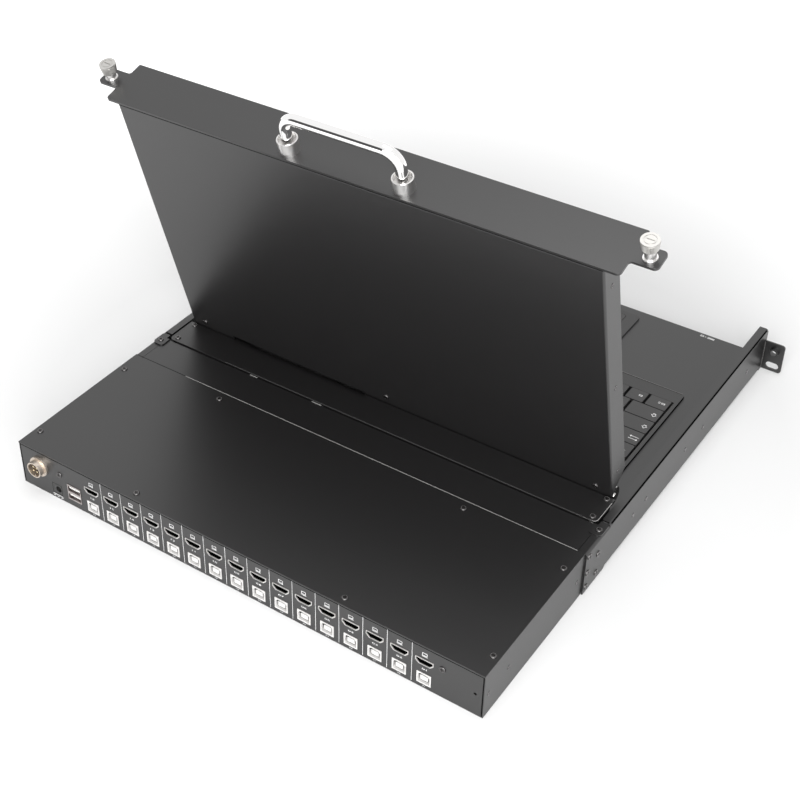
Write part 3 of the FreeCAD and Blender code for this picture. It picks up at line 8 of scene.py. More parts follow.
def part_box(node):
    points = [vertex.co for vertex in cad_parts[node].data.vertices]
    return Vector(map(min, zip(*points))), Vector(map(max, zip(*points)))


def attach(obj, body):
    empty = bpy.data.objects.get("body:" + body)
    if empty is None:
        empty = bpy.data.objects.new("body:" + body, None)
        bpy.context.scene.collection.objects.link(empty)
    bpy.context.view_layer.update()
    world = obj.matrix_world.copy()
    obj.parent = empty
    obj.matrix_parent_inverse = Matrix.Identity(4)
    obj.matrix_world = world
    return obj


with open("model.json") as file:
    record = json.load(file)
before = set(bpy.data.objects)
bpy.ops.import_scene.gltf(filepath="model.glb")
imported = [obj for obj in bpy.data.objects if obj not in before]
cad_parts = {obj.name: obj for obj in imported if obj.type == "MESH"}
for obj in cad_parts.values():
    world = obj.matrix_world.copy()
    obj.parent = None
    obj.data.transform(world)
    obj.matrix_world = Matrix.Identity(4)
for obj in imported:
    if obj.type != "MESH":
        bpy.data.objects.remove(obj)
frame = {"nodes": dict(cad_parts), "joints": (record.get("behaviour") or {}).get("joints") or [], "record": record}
NODES = frame["nodes"]
JOINTS = {joint["name"]: joint for joint in frame["joints"]}
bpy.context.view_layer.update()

# Places below are millimetres of the part's source, which counts Y from the rear face of the rack ears
MM = 0.001
MIDDLE_Y = 252.0


def at(x, y, z):
    """Place in the part's source as a point of the row frame in metres."""
    return Vector((x * MM, (y - MIDDLE_Y) * MM, z * MM))


def box_of(node):
    """Lowest and highest corner of a node at rest, as places in the part's source."""
    return [corner / MM + Vector((0, MIDDLE_Y, 0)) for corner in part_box(node)]


# Sizes of the part that the scene's own pieces follow
TRAY_LOW, TRAY_HIGH = box_of("base_tray")
PLATE_LOW, PLATE_HIGH = box_of("hinge_plate")
RIM_LOW, RIM_HIGH = box_of("keyboard_frame")
BOX_HALF, REAR_Y = TRAY_HIGH.x, TRAY_HIGH.y
SEAM_Y = TRAY_LOW.y
BOX_H = box_of("top_cover")[1].z
BRACKET_SHEET = 1.5
BRACKET_OUT = BOX_HALF + BRACKET_SHEET
FLANGE_IN = box_of("right_bracket")[0].x
PLATE_HALF, PLATE_Y1 = PLATE_HIGH.x, PLATE_HIGH.y
DECK_TOP = PLATE_LOW.z
LID_HALF = box_of("lid_back")[1].x

# Camera solved from the photograph
CAMERA_AT = (-536.02, 1120.40, 826.54)
CAMERA_FORWARD = (0.46418, -0.65092, -0.60069)
CAMERA_RIGHT = (-0.81739, -0.57604, -0.00743)
FOCAL_PX = 1494.2
CENTRE_PX = (329.4, 367.5)
PHOTO_PX = 800
SENSOR_MM = 36.0

# Level of the white tent, and its floor, which glows where it is seen and more so away from the object
TENT_LIGHT = 0.35
FLOOR_SIZE = 12.0
FLOOR_DROP = 0.0005
FLOOR_WHITE = 0.64
FLOOR_GLOW_NEAR = 0.15
FLOOR_GLOW_FAR = 0.8
FLOOR_NEAR = 0.33
FLOOR_FAR = 0.85

# Dark opening of the tent: its direction, the cosines at which it starts and is full, and its depth
OPENING_AT = (0.46, 0.87, 0.17)
OPENING_EDGE = 0.905
OPENING_FULL = 0.93
OPENING_DEPTH = 0.92

# Soft boxes, in metres and watts: azimuth from +X towards +Y, elevation, power
LAMP_TARGET = (0.0, 0.0, 0.1)
LAMP_DISTANCE = 2.5
LAMP_SIZE = 1.5
LAMPS = ((112, 35, 62.0), (0, 90, 22.0), (90, 12, 14.0), (135, 12, 32.0))


# Materials

def material(name, color, metallic=0.0, roughness=0.5, specular=0.5, ior=1.5):
    mat = bpy.data.materials.new(name)
    mat.use_nodes = True
    shader = mat.node_tree.nodes["Principled BSDF"]
    shader.inputs["Base Color"].default_value = (*color, 1.0)
    shader.inputs["Metallic"].default_value = metallic
    shader.inputs["Roughness"].default_value = roughness
    shader.inputs["Specular IOR Level"].default_value = specular
    shader.inputs["IOR"].default_value = ior
    return mat


def add_grain(mat, scale, strength, distance, edge=0.0):
    """Fine bump of a powder coat or a moulded skin, over edges rounded by that radius in metres."""
    nodes, links = mat.node_tree.nodes, mat.node_tree.links
    shader = nodes["Principled BSDF"]
    where = nodes.new("ShaderNodeTexCoord")
    noise = nodes.new("ShaderNodeTexNoise")
    noise.inputs["Scale"].default_value = scale
    noise.inputs["Detail"].default_value = 3.0
    bump = nodes.new("ShaderNodeBump")
    bump.inputs["Strength"].default_value = strength
    bump.inputs["Distance"].default_value = distance
    links.new(where.outputs["Object"], noise.inputs["Vector"])
    links.new(noise.outputs["Fac"], bump.inputs["Height"])
    if edge:
        rounded = nodes.new("ShaderNodeBevel")
        rounded.samples = 4
        rounded.inputs["Radius"].default_value = edge
        links.new(rounded.outputs["Normal"], bump.inputs["Normal"])
    links.new(bump.outputs["Normal"], shader.inputs["Normal"])


def case_paint(name, edge):
    """Black powder coat of the sheet metal."""
    paint = material(name, (0.0035, 0.0031, 0.0033), 0.0, 0.36, 0.5, 1.76)
    add_grain(paint, 2600.0, 0.12, 0.00006, edge)
    return paint


CASE = case_paint("case_paint_look", 0.0003)
SHEET_PAINT = case_paint("sheet_paint_look", 0.0)
SCREW_BLACK = material("black_screw_look", (0.13, 0.125, 0.125), 1.0, 0.27)
ZINC = material("zinc_look", (0.5, 0.5, 0.51), 1.0, 0.38)
BRIGHT = material("bright_steel_look", (0.72, 0.71, 0.70), 1.0, 0.2)
BRASS = material("brass_spacer_look", (0.72, 0.55, 0.28), 1.0, 0.35)
BOARD = material("board_look", (0.01, 0.07, 0.035), 0.0, 0.45)
SOCKET = material("socket_metal_look", (0.86, 0.84, 0.82), 1.0, 0.3)
USB_METAL = material("usb_metal_look", (0.5, 0.46, 0.45), 1.0, 0.3)
ROUND_METAL = material("round_socket_look", (0.62, 0.55, 0.48), 1.0, 0.42)
CONTACT = material("contact_look", (0.3, 0.29, 0.28), 1.0, 0.4)
NICKEL = material("nickel_look", (0.56, 0.55, 0.53), 1.0, 0.4)
CHROME = material("chrome_look", (0.93, 0.925, 0.92), 1.0, 0.06)
FERRULE_METAL = material("ferrule_look", (0.72, 0.71, 0.7), 1.0, 0.3)
WHITE = material("white_plastic_look", (0.6, 0.59, 0.58), 0.0, 0.45)
BLACK = material("black_plastic_look", (0.012, 0.012, 0.012), 0.0, 0.45, 0.5, 1.7)
INSERT = material("dark_insert_look", (0.022, 0.011, 0.009), 0.0, 0.35)
GOLD = material("gold_pin_look", (0.85, 0.72, 0.48), 1.0, 0.3)
DECK_PLASTIC = material("deck_plastic_look", (0.02, 0.0195, 0.0195), 0.0, 0.4, 0.5, 1.6)
KEYS = material("key_look", (0.028, 0.0272, 0.0272), 0.0, 0.42, 0.5, 1.6)
PAD = material("pad_look", (0.015, 0.015, 0.015), 0.0, 0.42, 0.5, 1.6)
GLASS = material("screen_look", (0.006, 0.007, 0.008), 0.0, 0.22)
SCREEN_METAL = material("screen_metal_look", (0.5, 0.5, 0.5), 1.0, 0.4)
LEGEND = material("legend_look", (0.85, 0.85, 0.85), 0.0, 0.6)
INK = material("ink_look", (0.75, 0.75, 0.75), 0.0, 0.6)
# Painted shade: near-black for thin dark lines and linings that stand in for shadow
PAINTED_SHADE = material("painted_shade_look", (0.002, 0.002, 0.002), 0.0, 0.8, 0.0)
# Painted highlights: greys in three strengths for thin strips on edges, folds and screw heads that stand in for
# catching the light
PAINTED_HIGHLIGHT = material("painted_highlight_look", (0.26, 0.255, 0.25), 0.0, 0.5)
PAINTED_BRIGHT_HIGHLIGHT = material("painted_bright_highlight_look", (0.4, 0.39, 0.385), 0.0, 0.5)
PAINTED_DIM_HIGHLIGHT = material("painted_dim_highlight_look", (0.09, 0.088, 0.087), 0.0, 0.5)
DISPLAY = material("display_look", (0.012, 0.014, 0.017), 0.0, 0.15)

MOULDED_SKINS = (DECK_PLASTIC, KEYS, PAD, BLACK, WHITE, INSERT)
UNEVEN_METALS = (ZINC, SCREW_BLACK, NICKEL, FERRULE_METAL, ROUND_METAL, USB_METAL, SOCKET, SCREEN_METAL,
                 BRASS, GOLD)
for skin in MOULDED_SKINS:
    add_grain(skin, 3200.0, 0.1, 0.00005)
for metal in UNEVEN_METALS:
    add_grain(metal, 1400.0, 0.05, 0.00005)
add_grain(BOARD, 900.0, 0.2, 0.0001)

LOOKS = {
    "case_paint": CASE, "black_screw": SCREW_BLACK, "zinc_steel": ZINC, "bright_steel": BRIGHT,
    "brass_spacer": BRASS, "circuit_board": BOARD, "socket_metal": SOCKET, "nickel": NICKEL, "chrome": CHROME,
    "white_plastic": WHITE, "black_plastic": BLACK, "dark_insert": INSERT, "gold_pin": GOLD,
    "deck_plastic": DECK_PLASTIC, "key_plastic": KEYS, "pad_surface": PAD, "screen_glass": GLASS,
    "screen_metal": SCREEN_METAL,
}

# Nodes with a look of their own: folded sheets keep sharp edges, and some metals are duller
OWN_LOOKS = {
    "left_bracket": SHEET_PAINT, "right_bracket": SHEET_PAINT, "deck_tray": SHEET_PAINT,
    "bridge_cover": SHEET_PAINT, "coupling_angles": SHEET_PAINT, "usb_a_shell": USB_METAL,
    "round_socket_shell": ROUND_METAL, "handle_ferrules": FERRULE_METAL, "thumb_sleeves": FERRULE_METAL,
}


def dress_nodes():
    slots = {part["node"]: part["material_slot"] for part in frame["record"]["subparts"]}
    for name, node in NODES.items():
        node.data.materials.clear()
        node.data.materials.append(OWN_LOOKS.get(name, LOOKS[slots[name]]))


# Flat print: shapes are lists of outlines in millimetres, across and up as its reader sees them

INK_LIFT = 0.03
ARROW_HEAD = 0.55
FONT_SIZE = 1.4


def bar(u0, v0, u1, v1):
    return [(u0, v0), (u1, v0), (u1, v1), (u0, v1)]


def frame_of(u0, v0, u1, v1, line):
    """Four bars round a rectangle."""
    return [bar(u0, v0, u1, v0 + line), bar(u0, v1 - line, u1, v1),
            bar(u0, v0 + line, u0 + line, v1 - line), bar(u1 - line, v0 + line, u1, v1 - line)]


def arrow(length, width, line):
    """Arrow pointing up, its middle at the origin."""
    low, high = -length / 2, length / 2
    neck = high - width * ARROW_HEAD
    return [bar(-line / 2, low, line / 2, neck), [(-width / 2, neck), (width / 2, neck), (0, high)]]


def hollow_arrow(length, width, line):
    """Outline of a broad arrow pointing up."""
    half, neck, head = width / 4, length / 2 - width * ARROW_HEAD, length / 2
    outer = [(-half, -head), (half, -head), (half, neck), (width / 2, neck), (0, head),
             (-width / 2, neck), (-half, neck)]
    inner = [(u * (1 - 2 * line / width), v * (1 - 2 * line / length)) for u, v in outer]
    count = len(outer)
    return [[outer[i], outer[(i + 1) % count], inner[(i + 1) % count], inner[i]] for i in range(count)]


def moved(shapes, du, dv, turn=0.0):
    cos, sin = math.cos(turn), math.sin(turn)
    return [[(du + u * cos - v * sin, dv + u * sin + v * cos) for u, v in shape] for shape in shapes]


def word(text, height, stretch=1.0):
    """Plain letters or figures, centred, as flat faces."""
    curve = bpy.data.curves.new("word", "FONT")
    curve.body = text
    curve.size = height * FONT_SIZE
    curve.resolution_u = 2
    letters = bpy.data.objects.new("word", curve)
    mesh = bpy.data.meshes.new_from_object(letters)
    corners = [vertex.co for vertex in mesh.vertices]
    middle_u = (min(c.x for c in corners) + max(c.x for c in corners)) / 2
    middle_v = (min(c.y for c in corners) + max(c.y for c in corners)) / 2
    shapes = [[((corners[i].x - middle_u) * stretch, corners[i].y - middle_v) for i in face.vertices]
              for face in mesh.polygons]
    bpy.data.objects.remove(letters)
    bpy.data.meshes.remove(mesh)
    bpy.data.curves.remove(curve)
    return shapes


def mesh_piece(name, body, look, corners, faces):
    mesh = bpy.data.meshes.new(name)
    mesh.from_pydata(corners, [], faces)
    mesh.materials.append(look)
    obj = bpy.data.objects.new(name, mesh)
    bpy.context.scene.collection.objects.link(obj)
    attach(obj, body)


def print_piece(name, body, look, origin, across, up, shapes, place=Matrix()):
    """Shapes laid on the plane through origin, just clear of the surface."""
    across, up = Vector(across), Vector(up)
    lift = across.cross(up) * INK_LIFT
    corners, faces = [], []
    for shape in shapes:
        first = len(corners)
        for u, v in shape:
            corners.append(place @ at(*(Vector(origin) + across * u + up * v + lift)))
        faces.append(tuple(range(first, len(corners))))
    mesh_piece(name, body, look, corners, faces)


def print_on_rear(name, look, shapes, sunk=0.0):
    """Shapes on the rear panel, across from its left end as seen from behind, and up from the floor."""
    print_piece(name, "chassis", look, (0, REAR_Y - sunk, 0), (-1, 0, 0), (0, 0, 1), shapes)


# Print on the rear panel: a display sign over each video socket, its number below, lines between the pairs

PORTS = 16
PORT_X0 = 143.3
PORT_PITCH = 21.06
PORT_XS = [PORT_X0 - PORT_PITCH * i for i in range(PORTS)]
SIGN_Z = 33.2
NUMBER_Z = 19.4
LOW_NUMBER_Z = 2.1
DIVIDER_HALF = 0.17
DIVIDER_Z0 = 1.3
DIVIDER_Z1 = BOX_H - 2.0
DC_X = 183.2
DC_Z = 10.2
DC_HALF = 5.2
DC_SIGN_Z = 2.4


def display_sign():
    """Screen over a short line."""
    half, height, line, foot = 2.1, 2.7, 0.4, 2.4
    return frame_of(-half, 0, half, height, line) + [bar(-foot, -1.0, foot, -0.5)]


def direct_current_sign():
    """Full line over a broken one."""
    half, dash, high, low, line = 5.4, 2.4, 0.7, -0.9, 0.6
    broken = [bar(u, low, u + dash, low + line) for u in (-half, -dash / 2, half - dash)]
    return [bar(-half, high, half, high + line)] + broken


def rear_print():
    shapes = []
    for i, x in enumerate(PORT_XS):
        number = "%02d" % (PORTS - i)
        shapes += moved(display_sign(), -x, SIGN_Z)
        shapes += moved(word(number, 1.7, 2.2), -x, NUMBER_Z)
        shapes += moved(word(number, 1.1, 2.0), -x, LOW_NUMBER_Z)
        if i:
            middle = -x - PORT_PITCH / 2
            shapes.append(bar(middle - DIVIDER_HALF, DIVIDER_Z0, middle + DIVIDER_HALF, DIVIDER_Z1))
    print_on_rear("rear_print", INK, shapes)
    print_on_rear("power_sign", INK, moved(direct_current_sign(), -DC_X, DC_SIGN_Z))


# Painted shade on the rear panel: thin dark lines under the cover, at both ends, and round the power socket

PANEL_END = BOX_HALF - 1.0
END_SHADE_HALF = 0.35
END_SHADE_Z0 = 1.0
COVER_SHADE_Z0 = BOX_H - 2.5
COVER_SHADE_Z1 = BOX_H - 1.05
DC_SHADE_LINE = 0.35


def rear_shade_lines():
    shapes = [bar(-PANEL_END, COVER_SHADE_Z0, PANEL_END, COVER_SHADE_Z1)]
    for end in (-PANEL_END, PANEL_END):
        shapes.append(bar(end - END_SHADE_HALF, END_SHADE_Z0, end + END_SHADE_HALF, COVER_SHADE_Z1))
    shapes += moved(frame_of(-DC_HALF, -DC_HALF, DC_HALF, DC_HALF, DC_SHADE_LINE), -DC_X, DC_Z)
    print_on_rear("rear_shade_lines", PAINTED_SHADE, shapes)


# Legends: plain letters, figures and arrows. Starts and row staggers are in key pitches.

KEY_TOP = box_of("key_row_1")[1].z
KEYS_HALF = box_of("keyboard_base")[1].x
KEY_COLUMNS = 20.12
KEY_PITCH = 2 * KEYS_HALF / KEY_COLUMNS
LETTERS_START = 1.68
HOME_START = 1.75
TOP_START = 1.5
FUNCTION_PITCH = 1.005
NUMBER_PAD = 16.12
LEGEND_LINE = 0.6
LEGEND_H = 3.2
LEGEND_IN = 6.0
SIGN_IN = 6.2
LEGEND_RISE = 0.7
FIRST_ROW_RISE = -0.8


def legend_places():
    """For each row: (start, text) of every key that carries letters or figures."""
    letters = [(LETTERS_START + i, letter) for i, letter in enumerate("ZXCVBNM,./")]
    home = [(HOME_START + i, letter) for i, letter in enumerate("ASDFGHJKL;'#")]
    top = [(TOP_START + i, letter) for i, letter in enumerate("QWERTYUIOP[]")]
    figures = [(i, letter) for i, letter in enumerate("`1234567890-=")]
    functions = [(FUNCTION_PITCH * (i + 1), "F%d" % (i + 1)) for i in range(12)]
    pad = [[(NUMBER_PAD, "0"), (NUMBER_PAD + 2, ".")],
           [(NUMBER_PAD + i, letter) for i, letter in enumerate("123")],
           [(NUMBER_PAD + i, letter) for i, letter in enumerate("456+")],
           [(NUMBER_PAD + i, letter) for i, letter in enumerate("789")],
           [(NUMBER_PAD + 1, "/"), (NUMBER_PAD + 2, "*"), (NUMBER_PAD + 3, "-")]]
    return [pad[0], letters + pad[1], home + pad[2], top + pad[3], figures + pad[4], functions]


def key_signs():
    """Signs of the cursor, shift, lock, tab and rub-out keys and of the corner keys: (row, start, shapes)."""
    big = hollow_arrow(5.0, 5.4, 0.9)
    small = arrow(3.2, 2.4, LEGEND_LINE)
    long = arrow(8.5, 3.0, LEGEND_LINE)
    quarter = math.pi / 2
    tab = moved(long, 1, 1.7, quarter) + moved(long, 1, -1.7, -quarter)
    square = frame_of(-1.6, -1.1, 1.6, 1.1, LEGEND_LINE)
    lines = [bar(2.4, -1.1, 4.6, -0.5), bar(2.4, 0.5, 4.6, 1.1)]
    left, down, right = [moved(small, 0, 0, quarter * turns) for turns in (1, 2, -1)]
    return [(0, 0, square + lines), (0, 1.14, square), (0, 2.14, small), (0, 3.27, small),
            (0, 13.3, left), (0, 14.23, down), (0, 15.16, right), (1, 14.23, small), (1, 0, big),
            (1, 11.68, big), (2, 0, big), (3, 0, tab), (4, 13, left), (3, 13.5, left)]


def key_legends():
    for row, marks in enumerate(legend_places()):
        key_row = "key_row_%d" % (row + 1)
        low, high = box_of(key_row)
        shapes = []
        rise = LEGEND_RISE if row else FIRST_ROW_RISE
        for start, text in marks:
            shapes += moved(word(text, LEGEND_H), -KEYS_HALF + start * KEY_PITCH + LEGEND_IN, rise)
        for sign_row, start, sign in key_signs():
            if sign_row == row:
                shapes += moved(sign, -KEYS_HALF + start * KEY_PITCH + SIGN_IN, rise)
        print_piece("legends_row_%d" % (row + 1), key_row, LEGEND,
                    (0, (low.y + high.y) / 2, KEY_TOP), (1, 0, 0), (0, 1, 0), shapes)


# A plain mark near the front edge of the deck: a small square and three bars

MARK_X = -167.0
MARK_Y = 9.4


def deck_mark():
    shapes = frame_of(-1.6, -1.2, 1.6, 1.2, 0.6)
    shapes += [bar(-4.0, -0.3, -2.6, 0.4), bar(-11.8, -1.0, -5.2, -0.2), bar(-11.8, 0.3, -5.2, 1.1)]
    print_piece("deck_mark", "drawer", LEGEND, (MARK_X, MARK_Y, DECK_TOP), (1, 0, 0), (0, 1, 0), shapes)


# The part's source draws the lid closed, and this turns a place on it to the open lid at rest

LID_AXIS = Vector(JOINTS["lid_hinge"]["pos_m"])
LID_ANGLE = math.radians(JOINTS["lid_hinge"]["range_deg"][1])
LID_TURN = (Matrix.Translation(LID_AXIS) @ Matrix.Rotation(-LID_ANGLE, 4, "X")
            @ Matrix.Translation(-LID_AXIS))

# Captive thumbscrews: a straight knurl round each knob

PANEL_FACE_Y = -3.8
THUMB_X = 232.55
THUMB_Z = 21.9
KNOB_LIFT = 9.0
KNOB_H = 8.4
KNOB_R = 6.6
KNOB_FOOT_R = 5.5
KNURL_TEETH = 44
KNURL_H = 0.32
KNURL_VALLEY = 0.02
KNURL_SEAT = 0.3
KNURL_FOOT = 0.5
KNURL_RIM = 1.3


def knurl(side, x):
    """Ring of ridges along the knob, a little proud of it, from the foot to just under the rim."""
    pushed = -JOINTS[side + "_thumb_push"]["range_m"][0] / MM
    foot = PANEL_FACE_Y - KNOB_LIFT + pushed
    taper = (KNOB_R - KNOB_FOOT_R) / KNOB_H
    ends = ((foot - KNURL_FOOT, KNOB_FOOT_R + taper * KNURL_FOOT),
            (foot - KNOB_H + KNURL_RIM, KNOB_R - taper * KNURL_RIM))
    corners, faces = [], []
    count = 2 * KNURL_TEETH
    for y, radius in ends:
        for ridge, valley in ((KNURL_H, KNURL_VALLEY), (-KNURL_SEAT, -KNURL_SEAT)):
            for k in range(count):
                r = radius + (ridge if k % 2 else valley)
                angle = 2 * math.pi * k / count
                corners.append(LID_TURN @ at(x + r * math.cos(angle), y, THUMB_Z + r * math.sin(angle)))
    far_out, far_in, near_out, near_in = (0, count, 2 * count, 3 * count)
    for k in range(count):
        after = (k + 1) % count
        for one, other in ((far_out, near_out), (near_out, near_in), (near_in, far_in), (far_in, far_out)):
            faces.append((one + k, one + after, other + after, other + k))
    mesh_piece(side + "_knurl", side + "_thumbscrew", NICKEL, corners, faces)


def thumb_knurls():
    knurl("left", -THUMB_X)
    knurl("right", THUMB_X)


# Painted light: thin strips painted as highlights on sheet edges and as shade in gaps and bends. Each line is
# (start, end, half width).

PRINT_TOP = BOX_H + INK_LIFT
SEAM_SET_BACK = 0.3
SEAM_TURN = 165.0
SEAM_END = BRACKET_OUT - 3.0
PLATE_EDGE_IN = 0.3
PLATE_EDGE_END = 150.0
CORNER_R = 3.7
CORNER_STEPS = 6
CORNER_HALF = 0.28
CORNER_ALONG = 14.0
CORNER_DOWN = 27.0
GAP_HIGHLIGHT_SPANS = ((45.0, 55.0), (113.0, 121.0))
GAP_HIGHLIGHT_BACK = 1.0
GAP_HIGHLIGHT_DROP = 0.97
BEND_IN = 0.6
BEND_Y0 = 2.0
BEND_Y1 = PLATE_Y1 - 6.5
EAR_FOLD_Y = 1.2
EAR_FOLD_Z0 = 1.0
EAR_FOLD_Z1 = 30.0
RIM_END = 2.0
RIM_SIDE_LIFT = 0.04
LIP_IN = 0.25
LIP_SHADE_IN = 0.85
RIDGE_OUT = 0.6
KEY_GAP_HALF = 0.5
KEYS_Y0 = box_of("key_row_1")[0].y - KEY_GAP_HALF
KEYS_Y1 = box_of("key_row_6")[1].y + KEY_GAP_HALF
PANEL_SHADE_Y = -1.2


def strips(name, body, look, lines, place=Matrix()):
    corners, faces = [], []
    for line in lines:
        first = len(corners)
        start, end, half = (Vector(point) for point in line)
        for corner in (start - half, start + half, end + half, end - half):
            corners.append(place @ at(*corner))
        faces.append((first, first + 1, first + 2, first + 3))
    mesh_piece(name, body, look, corners, faces)


def seam_painted_light():
    """Painted highlight along the front edge of the box's cover at the seam, and painted shade towards its +X end.
    """
    y, z = SEAM_Y + SEAM_SET_BACK, PRINT_TOP
    strips("seam_painted_highlight", "chassis", PAINTED_HIGHLIGHT, [((-FLANGE_IN, y, z), (SEAM_TURN, y, z), (0, 0.35, 0))])
    strips("seam_painted_shade", "chassis", PAINTED_SHADE, [((SEAM_TURN, y, z), (SEAM_END, y, z), (0, 0.25, 0))])


def plate_painted_highlights():
    """Painted highlight along the rear edge of the plate behind the lid, and a brighter painted highlight round
    its corner.
    """
    y, z = PLATE_Y1 - PLATE_EDGE_IN, PRINT_TOP
    side = -PLATE_HALF + PLATE_EDGE_IN
    bend = side + CORNER_R
    strips("plate_edge_painted_highlight", "drawer", PAINTED_DIM_HIGHLIGHT, [((bend, y, z), (PLATE_EDGE_END, y, z), (0, 0.2, 0))])

    def on_corner(angle):
        return bend - CORNER_R * math.sin(angle), y - CORNER_R + CORNER_R * math.cos(angle), z

    lines = []
    step = math.pi / 2 / CORNER_STEPS
    for k in range(CORNER_STEPS):
        middle = (k + 0.5) * step
        across = (-CORNER_HALF * math.sin(middle), CORNER_HALF * math.cos(middle), 0)
        lines.append((on_corner(k * step), on_corner((k + 1) * step), across))
    lines.append(((bend, y, z), (bend + CORNER_ALONG, y, z), (0, CORNER_HALF, 0)))
    lines.append(((side, y - CORNER_R, z), (side, PLATE_Y1 - CORNER_DOWN, z), (0.25, 0, 0)))
    strips("plate_corner_painted_highlight", "drawer", PAINTED_BRIGHT_HIGHLIGHT, lines)


def cover_gap_highlights():
    """Two short painted highlights in the gap between the plate and the bridge cover."""
    y, z = PLATE_Y1 + GAP_HIGHLIGHT_BACK, BOX_H - GAP_HIGHLIGHT_DROP
    strips("cover_gap_highlights", "chassis", PAINTED_HIGHLIGHT, [((x0, y, z), (x1, y, z), (0, 0.55, 0)) for x0, x1 in GAP_HIGHLIGHT_SPANS])


def bend_shade_lines():
    """Painted shade: a dark line along the bend of each bracket."""
    z = BOX_H - BEND_IN
    lines = []
    for side in (-1, 1):
        x = side * (BRACKET_OUT - BEND_IN)
        lines.append(((x, BEND_Y0, z), (x, BEND_Y1, z), (0.5 * side, 0, -0.5)))
    strips("bend_shade_lines", "chassis", PAINTED_SHADE, lines)


def keyboard_painted_light():
    """Painted highlight on the lip of the keyboard's rim, painted shade in the gaps round the rim, and a dim
    painted highlight on the ridge beside the keys.
    """
    z, end = RIM_HIGH.z + INK_LIFT, RIM_HIGH.x - RIM_END
    lip, shade_y = RIM_LOW.y + LIP_IN, RIM_LOW.y + LIP_SHADE_IN
    y0, y1 = RIM_LOW.y + RIM_END, RIM_HIGH.y - RIM_END
    side_z, ridge_z = DECK_TOP + 1.0, KEY_TOP - 0.8
    strips("keyboard_lip_highlight", "drawer", PAINTED_HIGHLIGHT, [((-end, lip, z), (end, lip, z), (0, 0.2, 0))])
    shade_strips = [((-end, shade_y, z), (end, shade_y, z), (0, 0.3, 0))]
    ridge_lines = []
    for side in (-1, 1):
        x = side * (RIM_HIGH.x + RIM_SIDE_LIFT)
        shade_strips.append(((x, y0, side_z), (x, y1, side_z), (0, 0, 0.9)))
        x = side * (KEYS_HALF + RIDGE_OUT)
        ridge_lines.append(((x, KEYS_Y0, ridge_z), (x, KEYS_Y1, ridge_z), (0.15, 0, 0)))
    strips("keyboard_shade_lines", "drawer", PAINTED_SHADE, shade_strips)
    strips("keyboard_ridge_highlights", "drawer", PAINTED_DIM_HIGHLIGHT, ridge_lines)


def panel_shade_line():
    """Painted shade: a dark line between the front panel and the lid."""
    end = LID_HALF - 1.0
    line = ((-end, PANEL_SHADE_Y, PRINT_TOP), (end, PANEL_SHADE_Y, PRINT_TOP), (0, 0.55, 0))
    strips("panel_shade_line", "lid", PAINTED_SHADE, [line], LID_TURN)


def ear_fold_highlights():
    """Dim painted highlight on the fold where each rack ear leaves its bracket."""
    lines = []
    for side in (-1, 1):
        x, y = side * (BRACKET_OUT + 0.3), EAR_FOLD_Y + INK_LIFT
        lines.append(((x, y, EAR_FOLD_Z0), (x, y, EAR_FOLD_Z1), (0.3, 0, 0)))
    strips("ear_fold_highlights", "chassis", PAINTED_DIM_HIGHLIGHT, lines)


# Painted highlight rings on the heads of the screws that face up, given on one side and mirrored to the other

SCREW_HEAD_H = 0.9
RING_IN = 1.65
RING_OUT = 2.1
RING_SIDES = 20
COVER_SCREWS = ((BOX_HALF - 5.5, REAR_Y - 19.5), (BOX_HALF * 0.45, REAR_Y - 6.5),
                (BOX_HALF * 0.545, SEAM_Y + 8.8), (BOX_HALF - 6.1, SEAM_Y + 23.0),
                (BRACKET_OUT - 5.0, SEAM_Y - 29.2))
PLATE_SCREWS = ((PLATE_HALF - 5.8, PLATE_Y1 - 28.8), (PLATE_HALF - 5.8, PLATE_Y1 - 5.0))


def ring():
    turns = [2 * math.pi * k / RING_SIDES for k in range(RING_SIDES + 1)]
    corners = [(math.cos(turn), math.sin(turn)) for turn in turns]
    return [[(RING_IN * a[0], RING_IN * a[1]), (RING_OUT * a[0], RING_OUT * a[1]),
             (RING_OUT * b[0], RING_OUT * b[1]), (RING_IN * b[0], RING_IN * b[1])]
            for a, b in zip(corners, corners[1:])]


def screw_highlight_rings(name, body, places):
    shapes = []
    for x, y in places:
        shapes += moved(ring(), x, y) + moved(ring(), -x, y)
    print_piece(name, body, PAINTED_DIM_HIGHLIGHT, (0, 0, BOX_H + SCREW_HEAD_H), (1, 0, 0), (0, 1, 0), shapes)


# Insides of the sockets: contacts of the video sockets, near-black liners in their mouths as painted shade, and
# painted shade lines in the square ones

HDMI_Z = 26.7
HDMI_LINER = ((-6.95, 2.35), (6.95, 2.35), (6.95, 0.33), (4.27, -2.35), (-4.27, -2.35), (-6.95, 0.33))
LINER_FRONT = 0.15
LINER_DEPTH = 8.0
CONTACT_ROW = range(-4, 5)
CONTACT_PITCH = 1.15
CONTACT_SIZE = (0.5, 0.7, 0.22)
CONTACT_DEPTH = 1.9
CONTACT_Z = 26.15
USB_B_Z = 9.6
USB_B_HALF = (3.6, 2.7)
USB_B_LINE = 0.3
USB_B_SUNK = 0.35


def add_block(corners, faces, centre, size):
    first = len(corners)
    for dz in (-0.5, 0.5):
        for dx, dy in ((-0.5, -0.5), (0.5, -0.5), (0.5, 0.5), (-0.5, 0.5)):
            corners.append(at(centre[0] + dx * size[0], centre[1] + dy * size[1], centre[2] + dz * size[2]))
    for face in ((3, 2, 1, 0), (4, 5, 6, 7), (0, 1, 5, 4), (1, 2, 6, 5), (2, 3, 7, 6), (3, 0, 4, 7)):
        faces.append(tuple(first + i for i in face))


